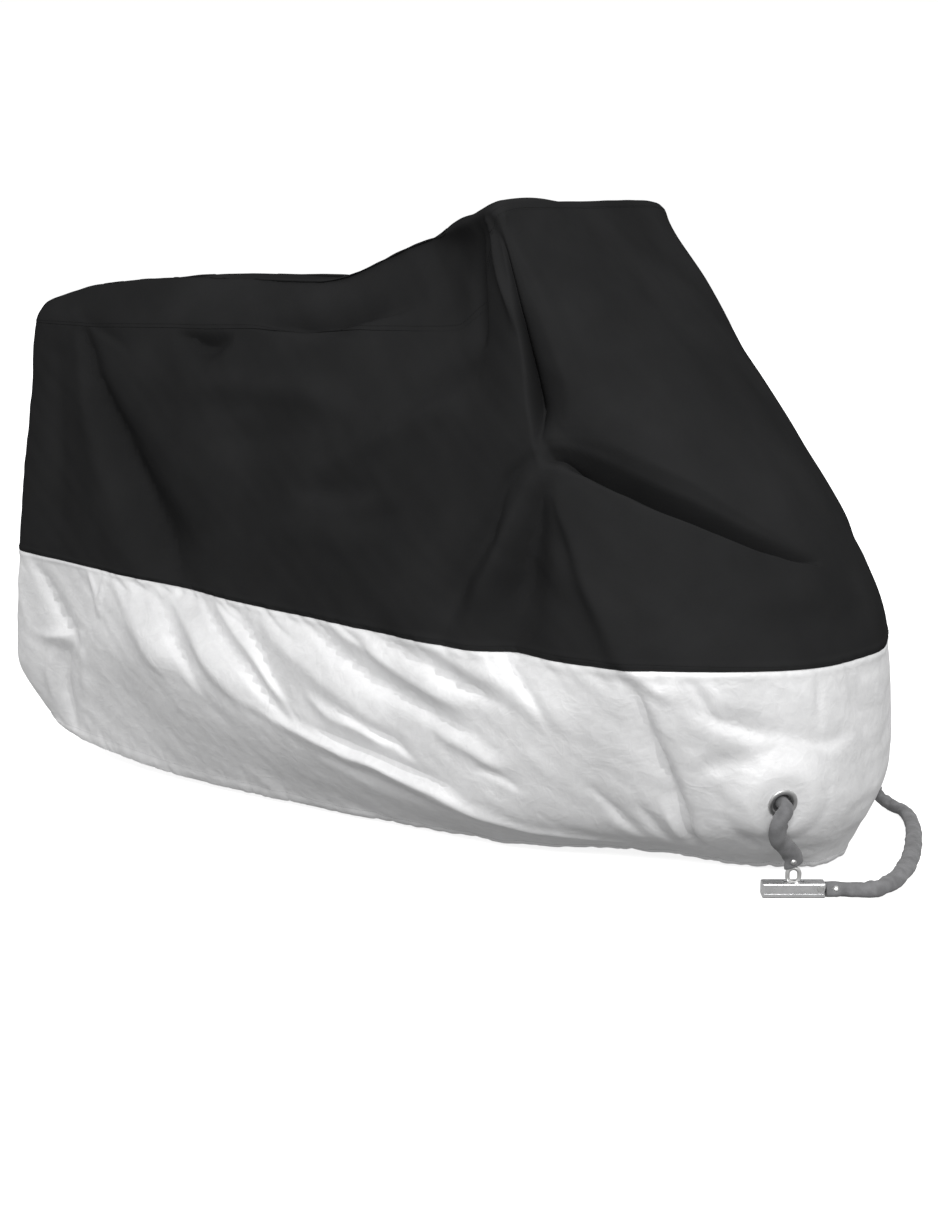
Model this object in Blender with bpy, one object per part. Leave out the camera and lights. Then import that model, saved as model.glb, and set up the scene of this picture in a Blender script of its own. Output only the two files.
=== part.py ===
"""Motorcycle cover, hung in the shape it takes over a parked motorcycle, with its chain lock.

Metres, +Z up, +X towards the front wheel, +Y to the motorcycle's left.  The origin is on the
ground under the middle of the cover.  The motorcycle itself is not modelled, so the cover is
a hollow sheet, open at the hem.

The cloth is one surface cut into three sewn pieces: a top panel over the seat and handlebar,
a belt of side panel, and a silver skirt with an elastic hem.  The surface is lofted: POSTS
gives the outline of the right half at seven levels, from the top edge down to the hem, and
the left half mirrors it.  FOLDS then raises ridges and presses troughs, each side its own.
"""

import math

import bmesh
import bpy
import numpy as np
from mathutils import Matrix, Vector

# Cloth
CLOTH = 0.002            # thickness of the sheet
HEM_BEAD = 0.006         # thickness of the rolled hem round its elastic
SEAM_GAP = 0.0005        # air between two pieces that are sewn together

# Levels from the top edge to the hem, and the rows of mesh between each one and the next
LEVELS = ("edge", "seam", "rib", "knee", "band", "turn", "hem")
ROWS_BELOW = (2, 4, 4, 4, 6, 4)
RIB_Z, KNEE_Z = 0.79, 0.60

# The outline of the right half, a row for each post from the tail to the nose: name, mesh
# columns to the next post, then (x, half width) at each level, with the height where it varies.
# At the turn the cloth bends under towards the hem.
POSTS = (
    ("tail", 4, (-0.925, 0.000, 0.990), (-0.938, 0.000, 0.965), (-0.958, 0.000), (-0.986, 0.000),
     (-0.990, 0.000, 0.449), (-0.985, 0.000, 0.270), (-0.890, 0.000, 0.115)),
    ("tail_corner", 8, (-0.885, 0.068, 1.003), (-0.895, 0.095, 0.968), (-0.912, 0.110),
     (-0.930, 0.125), (-0.932, 0.145, 0.457), (-0.935, 0.165, 0.270), (-0.860, 0.140, 0.086)),
    ("rack", 8, (-0.720, 0.095, 1.042), (-0.720, 0.150, 0.968), (-0.720, 0.170), (-0.720, 0.185),
     (-0.720, 0.200, 0.457), (-0.720, 0.240, 0.310), (-0.690, 0.185, 0.032)),
    ("seat", 8, (-0.445, 0.105, 1.066), (-0.430, 0.170, 0.970), (-0.415, 0.220), (-0.400, 0.250),
     (-0.390, 0.262, 0.432), (-0.380, 0.315, 0.280), (-0.370, 0.200, 0.022)),
    ("tank", 6, (-0.150, 0.115, 1.070), (-0.120, 0.205, 0.976), (-0.080, 0.280),
     (-0.040, 0.325), (0.000, 0.345, 0.428), (0.000, 0.368, 0.200), (0.000, 0.220, 0.012)),
    ("rise", 6, (0.110, 0.160, 1.142), (0.250, 0.290, 0.999), (0.270, 0.360),
     (0.280, 0.390), (0.300, 0.405, 0.430), (0.310, 0.385, 0.135), (0.310, 0.230, 0.012)),
    ("bar_end", 5, (0.368, 0.378, 1.214), (0.378, 0.382, 1.202), (0.500, 0.415),
     (0.550, 0.420), (0.580, 0.420, 0.430), (0.590, 0.330, 0.110), (0.580, 0.185, 0.019)),
    ("front_side", 4, (0.380, 0.270, 1.228), (0.390, 0.272, 1.215), (0.675, 0.290),
     (0.785, 0.280), (0.820, 0.345, 0.430), (0.850, 0.290, 0.140), (0.790, 0.140, 0.005)),
    ("front_corner", 3, (0.385, 0.130, 1.230), (0.396, 0.131, 1.216), (0.760, 0.145),
     (0.870, 0.155), (0.940, 0.185, 0.419), (0.965, 0.160, 0.160), (0.895, 0.090, 0.005)),
    ("nose", 0, (0.388, 0.000, 1.230), (0.400, 0.000, 1.216), (0.790, 0.000),
     (0.905, 0.000), (0.990, 0.000, 0.416), (0.990, 0.000, 0.170), (0.930, 0.000, 0.005)),
)

# How far the top panel arches or sags between its edges: share of the way forward, height
TOP_ARCH = ((0.0, 0.0), (0.25, 0.010), (0.60, -0.004), (0.80, -0.020), (1.0, 0.0))

# Ridges (+) and troughs (-) on the cloth: side (-1 right, +1 left), start and end as (x, half
# width, height), depth at start and end, half width of the fold at start and end
FOLDS = (
    # under the handlebar's ends
    (-1, (0.372, 0.380, 1.150), (0.407, 0.395, 1.010), 0.010, 0.004, 0.020, 0.026),
    (-1, (0.311, 0.328, 1.130), (0.313, 0.335, 1.010), -0.012, -0.006, 0.034, 0.045),
    (-1, (0.402, 0.386, 1.145), (0.470, 0.408, 0.890), -0.012, -0.024, 0.028, 0.042),
    (-1, (0.470, 0.408, 0.890), (0.460, 0.412, 0.825), -0.014, -0.004, 0.036, 0.030),
    (+1, (0.355, 0.370, 1.195), (0.390, 0.392, 1.040), 0.010, 0.004, 0.018, 0.028),
    (+1, (0.390, 0.384, 1.170), (0.500, 0.400, 0.860), -0.010, -0.018, 0.022, 0.040),
    (+1, (0.300, 0.320, 1.160), (0.290, 0.335, 0.980), -0.012, -0.008, 0.030, 0.045),
    # from the foot peg to the front fork, the deepest of all
    (-1, (0.540, 0.405, 0.778), (0.641, 0.355, 0.737), -0.012, -0.034, 0.034, 0.044),
    (-1, (0.650, 0.350, 0.732), (0.788, 0.247, 0.662), -0.024, -0.032, 0.042, 0.042),
    (-1, (0.800, 0.235, 0.655), (0.897, 0.093, 0.582), -0.024, -0.006, 0.040, 0.030),
    (-1, (0.570, 0.400, 0.850), (0.790, 0.260, 0.740), 0.014, 0.010, 0.040, 0.045),
    (+1, (0.560, 0.405, 0.760), (0.760, 0.290, 0.690), -0.012, -0.032, 0.034, 0.044),
    (+1, (0.770, 0.280, 0.680), (0.880, 0.140, 0.590), -0.024, -0.006, 0.042, 0.032),
    # fanning out below the foot peg
    (-1, (0.490, 0.416, 0.780), (0.394, 0.406, 0.637), 0.011, 0.015, 0.034, 0.046),
    (-1, (0.390, 0.406, 0.630), (0.292, 0.405, 0.442), 0.014, 0.008, 0.046, 0.056),
    (-1, (0.515, 0.416, 0.745), (0.538, 0.420, 0.651), 0.009, 0.014, 0.030, 0.040),
    (-1, (0.540, 0.420, 0.645), (0.597, 0.419, 0.459), 0.014, 0.008, 0.040, 0.050),
    (-1, (0.485, 0.418, 0.660), (0.490, 0.420, 0.480), -0.008, -0.014, 0.030, 0.055),
    (+1, (0.520, 0.416, 0.780), (0.430, 0.408, 0.560), 0.012, 0.010, 0.026, 0.048),
    (+1, (0.540, 0.416, 0.740), (0.620, 0.415, 0.480), 0.010, 0.008, 0.026, 0.048),
    # down the side from the tail
    (-1, (-0.689, 0.154, 0.935), (-0.634, 0.184, 0.816), -0.008, -0.018, 0.034, 0.044),
    (-1, (-0.628, 0.186, 0.806), (-0.506, 0.228, 0.619), -0.016, -0.018, 0.044, 0.050),
    (-1, (-0.500, 0.230, 0.609), (-0.400, 0.260, 0.440), -0.016, -0.006, 0.050, 0.060),
    (-1, (-0.760, 0.150, 0.900), (-0.600, 0.205, 0.560), 0.012, 0.014, 0.045, 0.060),
    (+1, (-0.700, 0.152, 0.950), (-0.560, 0.215, 0.700), -0.008, -0.014, 0.028, 0.042),
    (+1, (-0.560, 0.215, 0.700), (-0.480, 0.240, 0.450), -0.012, -0.005, 0.042, 0.060),
    # below the seat and the tank
    (-1, (-0.455, 0.176, 0.940), (-0.300, 0.190, 0.945), -0.009, -0.007, 0.020, 0.020),
    (-1, (-0.215, 0.189, 0.995), (-0.060, 0.176, 1.025), -0.009, -0.006, 0.024, 0.020),
    (-1, (-0.100, 0.165, 1.045), (0.220, 0.239, 1.130), 0.006, 0.008, 0.024, 0.028),
    (-1, (0.322, 0.344, 1.000), (0.042, 0.339, 0.636), 0.008, 0.004, 0.040, 0.060),
    (-1, (0.177, 0.270, 0.970), (-0.004, 0.338, 0.554), -0.008, -0.004, 0.045, 0.060),
    (+1, (-0.300, 0.190, 0.945), (-0.120, 0.205, 0.960), -0.008, -0.007, 0.022, 0.022),
    (+1, (0.300, 0.330, 0.990), (0.100, 0.345, 0.620), 0.008, 0.005, 0.045, 0.060),
    # rear corners of the skirt
    (-1, (-0.865, 0.170, 0.435), (-0.800, 0.205, 0.353), -0.009, -0.012, 0.018, 0.020),
    (-1, (-0.800, 0.205, 0.353), (-0.765, 0.228, 0.280), -0.012, -0.014, 0.020, 0.016),
    (-1, (-0.850, 0.200, 0.285), (-0.765, 0.230, 0.292), 0.010, 0.012, 0.020, 0.014),
    (-1, (-0.785, 0.215, 0.250), (-0.800, 0.175, 0.080), -0.014, -0.010, 0.016, 0.020),
    (+1, (-0.870, 0.170, 0.430), (-0.790, 0.215, 0.270), -0.009, -0.013, 0.018, 0.020),
    # slanting down the skirt from the band
    (-1, (-0.550, 0.235, 0.425), (-0.360, 0.312, 0.270), 0.012, 0.014, 0.036, 0.036),
    (-1, (-0.450, 0.255, 0.420), (-0.280, 0.325, 0.275), -0.012, -0.012, 0.034, 0.034),
    (-1, (-0.365, 0.270, 0.418), (-0.120, 0.352, 0.245), 0.012, 0.013, 0.036, 0.034),
    (-1, (-0.280, 0.290, 0.418), (-0.065, 0.358, 0.255), -0.013, -0.011, 0.030, 0.030),
    (-1, (-0.180, 0.315, 0.418), (0.020, 0.366, 0.270), 0.011, 0.009, 0.034, 0.036),
    (-1, (0.000, 0.347, 0.415), (0.354, 0.404, 0.260), -0.012, -0.014, 0.030, 0.034),
    (-1, (0.176, 0.387, 0.410), (0.400, 0.410, 0.340), 0.009, 0.008, 0.028, 0.030),
    (+1, (-0.480, 0.245, 0.430), (-0.260, 0.330, 0.270), 0.010, 0.009, 0.030, 0.028),
    (+1, (-0.380, 0.266, 0.425), (-0.150, 0.350, 0.250), -0.010, -0.009, 0.026, 0.028),
    (+1, (-0.100, 0.330, 0.425), (0.230, 0.385, 0.250), -0.009, -0.009, 0.024, 0.028),
    (+1, (0.200, 0.390, 0.420), (0.450, 0.410, 0.330), 0.008, 0.006, 0.026, 0.030),
    # along the turn, where the skirt bends under
    (-1, (-0.121, 0.350, 0.224), (0.170, 0.376, 0.165), 0.009, 0.012, 0.020, 0.018),
    (-1, (0.170, 0.376, 0.165), (0.470, 0.330, 0.105), 0.012, 0.009, 0.018, 0.022),
    (-1, (-0.040, 0.360, 0.235), (0.250, 0.388, 0.185), -0.008, -0.008, 0.016, 0.018),
    (+1, (-0.050, 0.358, 0.215), (0.300, 0.376, 0.145), 0.010, 0.010, 0.022, 0.022),
    # beside the front wheel
    (-1, (0.640, 0.412, 0.375), (0.700, 0.375, 0.262), -0.010, -0.022, 0.024, 0.032),
    (-1, (0.702, 0.370, 0.252), (0.725, 0.280, 0.107), -0.020, -0.018, 0.032, 0.030),
    (-1, (0.728, 0.270, 0.100), (0.745, 0.220, 0.060), -0.012, -0.006, 0.028, 0.022),
    (-1, (0.670, 0.406, 0.368), (0.810, 0.350, 0.325), 0.013, 0.008, 0.030, 0.032),
    (-1, (0.752, 0.380, 0.410), (0.891, 0.295, 0.300), -0.006, -0.008, 0.026, 0.032),
    (-1, (0.905, 0.280, 0.290), (0.954, 0.202, 0.250), -0.007, -0.004, 0.030, 0.026),
    (-1, (0.924, 0.220, 0.425), (0.946, 0.211, 0.300), -0.005, -0.003, 0.016, 0.020),
    (+1, (0.650, 0.410, 0.380), (0.740, 0.330, 0.180), -0.008, -0.015, 0.018, 0.026),
    (+1, (0.780, 0.370, 0.405), (0.930, 0.250, 0.300), -0.006, -0.007, 0.028, 0.030),
)

# Eyelets at the front of the skirt, one on each side
EYELET_AT = (0.895, 0.283, 0.184)        # (x, half width, height) on the cloth
EYELET_TURN, EYELET_TIP = 42.0, -12.0    # degrees: towards the front, and up
EYELET_BORE = 0.0175                     # radius of the hole
EYELET_BARREL = 0.0195                   # radius of the barrel that goes through the cloth
EYELET_RIM = 0.028                       # radius of the flange outside, and of the washer inside
EYELET_PLATE = 0.0025                    # thickness of the flange and of the washer
FLAT_WITHIN, FLAT_TO = 0.072, 0.125      # the cloth is level this far round an eyelet

# Lock that joins the two ends of the chain, lying on the ground
LOCK_AT = (0.907, -0.244)
LOCK_TURN = 27.5                         # degrees from +X towards +Y
LOCK_LONG, LOCK_DEEP, LOCK_HIGH = 0.115, 0.028, 0.028
SLOT_LONG, SLOT_WIDE, SLOT_DEEP = 0.038, 0.011, 0.007
GROOVE_LONG, GROOVE_HIGH, GROOVE_DEEP, GROOVE_UP = 0.107, 0.003, 0.0015, 0.009
PLUG_RADIUS, PLUG_OUT, PLUG_UP = 0.006, 0.002, 0.018

# Chain in its woven sleeve
SLEEVE_RADIUS = 0.013
RIVET_RADIUS, RIVET_HIGH = 0.0055, 0.0025
LINK_WIRE, LINK_WIDE, LINK_TALL = 0.0042, 0.030, 0.036   # wire radius, and the link outside
SLEEVE_STEP = 0.034                      # between two points of the sleeve's curve
# Its way by hand: up from the lock, in by the right eyelet, across inside the front wheel,
# out by the left eyelet, down to the ground and round the nose back to the lock
SLEEVE_WAY = (
    (0.9070, -0.2440, 0.0590), (0.9060, -0.2480, 0.0750), (0.8980, -0.2740, 0.1030),
    (0.8940, -0.3050, 0.1320), (0.9010, -0.3090, 0.1620), (0.9080, -0.2990, 0.1800),
    (0.8950, -0.2830, 0.1840), (0.8750, -0.2560, 0.1830), (0.8600, -0.1900, 0.1740),
    (0.8520, -0.1000, 0.1660), (0.8500, 0.0000, 0.1640), (0.8520, 0.1000, 0.1660),
    (0.8600, 0.1900, 0.1740), (0.8750, 0.2560, 0.1830), (0.8950, 0.2830, 0.1840),
    (0.9080, 0.3000, 0.1790), (0.9040, 0.3130, 0.1540), (0.8940, 0.3220, 0.1120),
    (0.8880, 0.3320, 0.0660), (0.8960, 0.3400, 0.0270), (0.9250, 0.3300, 0.0145),
    (0.9600, 0.3000, 0.0145), (0.9980, 0.2250, 0.0145), (1.0270, 0.1300, 0.0145),
    (1.0500, 0.0200, 0.0145), (1.0580, -0.0700, 0.0145), (1.0520, -0.1400, 0.0145),
    (1.0340, -0.1830, 0.0145), (1.0080, -0.1960, 0.0144), (0.9830, -0.2045, 0.0142),
    (0.9589, -0.2170, 0.0142),
)


def smooth_through(knots, values, at):
    """Smooth curve through the values that never swings past them."""
    knots, values, at = np.asarray(knots, float), np.asarray(values, float), np.asarray(at, float)
    step = np.diff(knots)[:, None]
    rise = np.diff(values, axis=0) / step
    slope = np.zeros_like(values)
    slope[0], slope[-1] = rise[0], rise[-1]
    before, after = rise[:-1], rise[1:]
    same = before * after > 0
    total = np.where(same, before + after, 1.0)
    slope[1:-1] = np.where(same, 2 * before * after / total, 0.0)
    cell = np.clip(np.searchsorted(knots, at, side="right") - 1, 0, len(knots) - 2)
    t = ((at - knots[cell]) / step[cell, 0])[:, None]
    run = step[cell]
    return ((2 * t**3 - 3 * t**2 + 1) * values[cell] + (t**3 - 2 * t**2 + t) * run * slope[cell]
            + (3 * t**2 - 2 * t**3) * values[cell + 1] + (t**3 - t**2) * run * slope[cell + 1])


def half_levels():
    """Points of the right half on the seven levels: [column, level, xyz]."""
    columns = np.cumsum([0] + [post[1] for post in POSTS[:-1]])
    table = []
    for post in POSTS:
        edge, seam, rib, knee, band, turn, hem = post[2:]
        table.append([edge, seam, (*rib, RIB_Z), (*knee, KNEE_Z), band, turn, hem])
    table = np.array(table)
    at = np.arange(columns[-1] + 1)
    flat = smooth_through(columns, table.reshape(len(POSTS), -1), at)
    return columns, flat.reshape(len(at), len(LEVELS), 3)


def ring_wall():
    """The wall of the cover as [row, column, xyz], columns right round from the tail."""
    columns, half = half_levels()
    rows = np.cumsum((0,) + ROWS_BELOW)
    at = np.arange(rows[-1] + 1)
    right = smooth_through(rows, half.transpose(1, 0, 2).reshape(len(LEVELS), -1), at)
    right = right.reshape(len(at), half.shape[0], 3)
    left = right.copy()
    right[:, :, 1] *= -1
    return rows, columns, np.concatenate([right, left[:, -2:0:-1]], axis=1)


def top_patch(edge, rear, front):
    """Fill the top edge with a grid of [along, across] points, arched in the middle."""
    count = len(edge)
    right = edge[rear:front + 1]
    left = edge[count - front:count - rear + 1][::-1]
    ahead = edge[front:count - front + 1]
    behind = edge[[(rear - k) % count for k in range(2 * rear + 1)]]
    t = np.linspace(0, 1, len(right))[:, None, None]
    s = np.linspace(0, 1, len(ahead))[None, :, None]
    sides = (1 - s) * right[:, None] + s * left[:, None]
    ends = (1 - t) * behind[None] + t * ahead[None]
    corners = (1 - t) * ((1 - s) * right[0] + s * left[0]) + t * ((1 - s) * right[-1] + s * left[-1])
    grid = sides + ends - corners
    share, height = zip(*TOP_ARCH)
    arch = smooth_through(share, np.array(height)[:, None], t[:, 0, 0])
    grid[:, :, 2] += arch * np.sin(math.pi * s[:, :, 0])
    return grid


class Cover:
    """The middle of the whole cloth: its points, and the outward triangles of each piece."""

    def __init__(self):
        levels, columns, wall = ring_wall()
        names = [post[0] for post in POSTS]
        rear, front = columns[names.index("rack")], columns[names.index("bar_end")]
        self.wall = np.arange(wall.shape[0] * wall.shape[1]).reshape(wall.shape[:2])
        self.top = self.number_top(rear, front)
        grid = top_patch(wall[0], rear, front)
        self.points = np.concatenate([wall.reshape(-1, 3), grid[1:-1, 1:-1].reshape(-1, 3)])
        self.seam = levels[LEVELS.index("seam")]
        self.band = levels[LEVELS.index("band")]
        self.cut_pieces()
        self.find_normals()
        self.fold()
        self.flatten_round_eyelets()
        self.cut_pieces()
        self.find_normals()

    def number_top(self, rear, front):
        """Number the top patch so that its rim shares the points of the wall's first row."""
        rim, count = self.wall[0], self.wall.shape[1]
        top = np.zeros((front - rear + 1, count - 2 * front + 1), int)
        inside = (top.shape[0] - 2) * (top.shape[1] - 2)
        top[1:-1, 1:-1] = (self.wall.size + np.arange(inside)).reshape(top.shape[0] - 2, -1)
        top[:, 0] = rim[rear:front + 1]
        top[:, -1] = rim[count - front:count - rear + 1][::-1]
        top[-1] = rim[front:count - front + 1]
        top[0] = rim[[(rear - k) % count for k in range(2 * rear + 1)]]
        return top

    def cut_pieces(self):
        """Sort the cells of the cloth into the sewn pieces."""
        wall = np.concatenate([self.wall, self.wall[:, :1]], axis=1)
        self.pieces = {
            "top_panel": self.split(self.top.T) + self.split(wall[:self.seam + 1].T),
            "side_panel": self.split(wall[self.seam:self.band + 1].T),
            "skirt": self.split(wall[self.band:].T)}

    def split(self, grid):
        """Cut a grid of point numbers into triangles, each four-sided cell by its short way."""
        triangles = []
        for near, far in zip(grid[:-1], grid[1:]):
            for a, b, c, d in zip(near[:-1], near[1:], far[1:], far[:-1]):
                one = np.linalg.norm(self.points[a] - self.points[c])
                other = np.linalg.norm(self.points[b] - self.points[d])
                triangles += [(a, b, c), (a, c, d)] if one <= other else [(a, b, d), (b, c, d)]
        return triangles

    def find_normals(self):
        """Unit normal of the cloth at each point, the mean of the triangles round it."""
        corners = np.array(sum(self.pieces.values(), []))
        a, b, c = (self.points[corners[:, k]] for k in range(3))
        face = np.cross(b - a, c - a)
        normals = np.zeros_like(self.points)
        for k in range(3):
            np.add.at(normals, corners[:, k], face)
        self.normals = normals / np.linalg.norm(normals, axis=1, keepdims=True)

    def fold(self):
        """Raise the ridges and press the troughs of FOLDS along the cloth's normals."""
        push = np.zeros(len(self.points))
        for side, start, end, deep_from, deep_to, wide_from, wide_to in FOLDS:
            start, end = np.array(start, float), np.array(end, float)
            start[1] *= side
            end[1] *= side
            run = end - start
            along = ((self.points - start) @ run / (run @ run)).clip(0, 1)
            away = np.linalg.norm(self.points - start - along[:, None] * run, axis=1)
            wide = wide_from + (wide_to - wide_from) * along
            deep = deep_from + (deep_to - deep_from) * along
            push += deep * np.exp(-(away / wide) ** 2)
        self.points += push[:, None] * self.normals

    def flatten_round_eyelets(self):
        """Level the cloth where the eyelets clamp it."""
        for centre, facing in eyelet_places():
            reach = np.linalg.norm(self.points - centre, axis=1)
            share = ((FLAT_TO - reach) / (FLAT_TO - FLAT_WITHIN)).clip(0, 1)
            share = share * share * (3 - 2 * share)
            off = (self.points - centre) @ facing
            self.points -= (share * off)[:, None] * facing

    def trimmed(self, row, way):
        """A row of the wall moved half a seam gap down (+1) or up (-1) along the cloth."""
        here = self.wall[row]
        run = self.points[np.roll(here, -1)] - self.points[np.roll(here, 1)]
        down = np.cross(run, self.normals[here])
        down /= np.linalg.norm(down, axis=1, keepdims=True)
        return self.points[here] + way * SEAM_GAP / 2 * down

    def piece_points(self, name):
        """Points of one piece's middle, and half its thickness at each."""
        points = self.points.copy()
        half = np.full(len(points), CLOTH / 2)
        if name == "top_panel":
            points[self.wall[self.seam]] = self.trimmed(self.seam, -1)
        if name == "side_panel":
            points[self.wall[self.seam]] = self.trimmed(self.seam, +1)
            points[self.wall[self.band]] = self.trimmed(self.band, -1)
        if name == "skirt":
            points[self.wall[self.band]] = self.trimmed(self.band, +1)
            half[self.wall[-1]] = HEM_BEAD / 2
        return points, half


def mesh_object(name, points, faces, smooth=True):
    """New object with a mesh of its own."""
    mesh = bpy.data.meshes.new(name)
    mesh.from_pydata([tuple(point) for point in points], [], faces)
    mesh.polygons.foreach_set("use_smooth", [smooth] * len(mesh.polygons))
    part = bpy.data.objects.new(name, mesh)
    bpy.context.scene.collection.objects.link(part)
    return part


def cloth_piece(cover, name):
    """Solid sheet of one sewn piece: an outer side, an inner side and the rim between."""
    middle, half = cover.piece_points(name)
    triangles = cover.pieces[name]
    used = sorted({corner for triangle in triangles for corner in triangle})
    number = {corner: k for k, corner in enumerate(used)}
    offset = half[used, None] * cover.normals[used]
    points = np.concatenate([middle[used] + offset, middle[used] - offset])
    outer = [tuple(number[corner] for corner in triangle) for triangle in triangles]
    inner = [tuple(len(used) + corner for corner in reversed(triangle)) for triangle in outer]
    edges = {(a, b) for t in outer for a, b in zip(t, t[1:] + t[:1])}
    rim = [(b, a, len(used) + a, len(used) + b) for a, b in sorted(edges) if (b, a) not in edges]
    return mesh_object(name, points, outer + inner + rim)


def material(name, colour, roughness, metallic=0.0):
    """Principled material in one plain colour."""
    made = bpy.data.materials.new(name)
    made.use_nodes = True
    shader = made.node_tree.nodes["Principled BSDF"]
    shader.inputs["Base Color"].default_value = (*colour, 1.0)
    shader.inputs["Roughness"].default_value = roughness
    shader.inputs["Metallic"].default_value = metallic
    return made


def eyelet_places():
    """Centre of each eyelet on the cloth's middle, and the way it faces."""
    for side in (-1, 1):
        centre = np.array([EYELET_AT[0], side * EYELET_AT[1], EYELET_AT[2]])
        turn = math.radians(EYELET_TURN)
        tip = math.radians(EYELET_TIP)
        facing = np.array([math.sin(turn) * math.cos(tip), side * math.cos(turn) * math.cos(tip),
                           math.sin(tip)])
        yield centre, facing



def turned(name, profile, segments, place):
    """Solid ring: a closed profile of (radius, height) turned round the place's Z axis."""
    points, faces = [], []
    for turn in range(segments):
        angle = math.tau * turn / segments
        for radius, height in profile:
            points.append(place @ Vector((radius * math.cos(angle), radius * math.sin(angle), height)))
    count = len(profile)
    for turn in range(segments):
        here, there = turn * count, (turn + 1) % segments * count
        for k in range(count):
            after = (k + 1) % count
            faces.append((here + k, there + k, there + after, here + after))
    return mesh_object(name, points, faces)


def facing_place(centre, facing):
    """Place whose Z axis leaves the centre along a direction."""
    turn = Vector(facing).to_track_quat("Z", "Y").to_matrix().to_4x4()
    return Matrix.Translation(Vector(centre)) @ turn


def eyelet(name, centre, facing):
    """Brass eyelet: a barrel through the cloth, rolled over it outside and riveted inside."""
    bottom = -(CLOTH / 2 + SEAM_GAP)
    top = CLOTH / 2 + SEAM_GAP
    crest = top + EYELET_PLATE
    profile = (
        (EYELET_BORE, bottom - EYELET_PLATE), (EYELET_RIM, bottom - EYELET_PLATE), (EYELET_RIM, bottom),
        (EYELET_BARREL, bottom), (EYELET_BARREL, top), (EYELET_RIM, top),
        (EYELET_RIM, top + 0.4 * EYELET_PLATE), (EYELET_RIM - 0.0015, top + 0.8 * EYELET_PLATE),
        (EYELET_RIM - 0.004, crest), (EYELET_BARREL + 0.001, crest),
        (EYELET_BORE + 0.0006, top + 0.8 * EYELET_PLATE), (EYELET_BORE, top + 0.3 * EYELET_PLATE))
    return turned(name, profile, 28, facing_place(centre, facing))


def linked(name, mesh):
    """New object from a finished bmesh."""
    data = bpy.data.meshes.new(name)
    mesh.to_mesh(data)
    mesh.free()
    part = bpy.data.objects.new(name, data)
    bpy.context.scene.collection.objects.link(part)
    return part


def rounded_box(name, size, round_off, place):
    """Box with its edges rounded off, centred on the place."""
    mesh = bmesh.new()
    bmesh.ops.create_cube(mesh, size=1.0, matrix=Matrix.Diagonal((*size, 1.0)))
    bmesh.ops.bevel(mesh, geom=mesh.edges[:], offset=round_off, segments=2, profile=0.5,
                    affect="EDGES")
    bmesh.ops.transform(mesh, matrix=place, verts=mesh.verts)
    return linked(name, mesh)


def rod(name, foot, tip, length, place):
    """Upright round solid from the radius at its foot to the radius at its tip."""
    mesh = bmesh.new()
    middle = place @ Matrix.Translation((0, 0, length / 2))
    bmesh.ops.create_cone(mesh, cap_ends=True, segments=28, radius1=foot, radius2=tip,
                          depth=length, matrix=middle)
    return linked(name, mesh)


def tube(name, way, radius, closed=False):
    """Round tube along a list of points."""
    curve = bpy.data.curves.new(name, "CURVE")
    curve.dimensions = "3D"
    curve.bevel_depth = radius
    curve.bevel_resolution = 3
    curve.use_fill_caps = not closed
    spline = curve.splines.new("POLY")
    spline.points.add(len(way) - 1)
    for point, at in zip(spline.points, way):
        point.co = (*at, 1.0)
    spline.use_cyclic_u = closed
    spline.use_smooth = True
    part = bpy.data.objects.new(name, curve)
    bpy.context.scene.collection.objects.link(part)
    return part


def cut_with(part, cutter):
    """Take the cutter's shape out of a part."""
    cutter.hide_render = True
    cutter.display_type = "WIRE"
    hole = part.modifiers.new("Hole", "BOOLEAN")
    hole.operation = "DIFFERENCE"
    hole.solver = "EXACT"
    hole.object = cutter


def lock_place(along=0.0, across=0.0, up=0.0):
    """Place on the lock: along its length, towards its back, and up from its underside."""
    turn = Matrix.Rotation(math.radians(LOCK_TURN), 4, "Z")
    return (Matrix.Translation((*LOCK_AT, 0.0)) @ turn
            @ Matrix.Translation((along, across, up)))


def lock_body():
    """Block of the bar lock, with a groove along both sides and a slot for the chain's link."""
    size = (LOCK_LONG, LOCK_DEEP, LOCK_HIGH)
    body = rounded_box("lock_body", size, 0.003, lock_place(up=LOCK_HIGH / 2))
    slot = (SLOT_LONG, SLOT_WIDE, 2 * SLOT_DEEP)
    cut_with(body, rounded_box("slot_cutter", slot, 0.001, lock_place(up=LOCK_HIGH)))
    groove = (GROOVE_LONG, 2 * GROOVE_DEEP, GROOVE_HIGH)
    for side in (-1, 1):
        place = lock_place(across=side * LOCK_DEEP / 2, up=GROOVE_UP)
        cut_with(body, rounded_box(f"groove_cutter_{side}", groove, 0.0004, place))
    return body


def lock_plug():
    """Key plug, let into the end of the lock's front face."""
    face = lock_place(LOCK_LONG / 2 - PLUG_RADIUS - 0.004, -LOCK_DEEP / 2 - SEAM_GAP, PLUG_UP)
    return rod("lock_plug", PLUG_RADIUS, PLUG_RADIUS - 0.001, PLUG_OUT,
               face @ Matrix.Rotation(math.radians(90), 4, "X"))


def chain_link():
    """Last link of the chain, standing in the lock's slot."""
    middle = LOCK_HIGH - SLOT_DEEP + SEAM_GAP + LINK_TALL / 2
    bend = LINK_WIDE / 2 - LINK_WIRE
    straight = (LINK_TALL - LINK_WIDE) / 2
    way = []
    for step in range(24):
        angle = math.tau * (step + 0.5) / 24
        up = bend * math.sin(angle) + math.copysign(straight, math.sin(angle))
        way.append(lock_place(bend * math.cos(angle), 0.0, middle + up).translation)
    return tube("chain_link", way, LINK_WIRE, closed=True)


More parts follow.
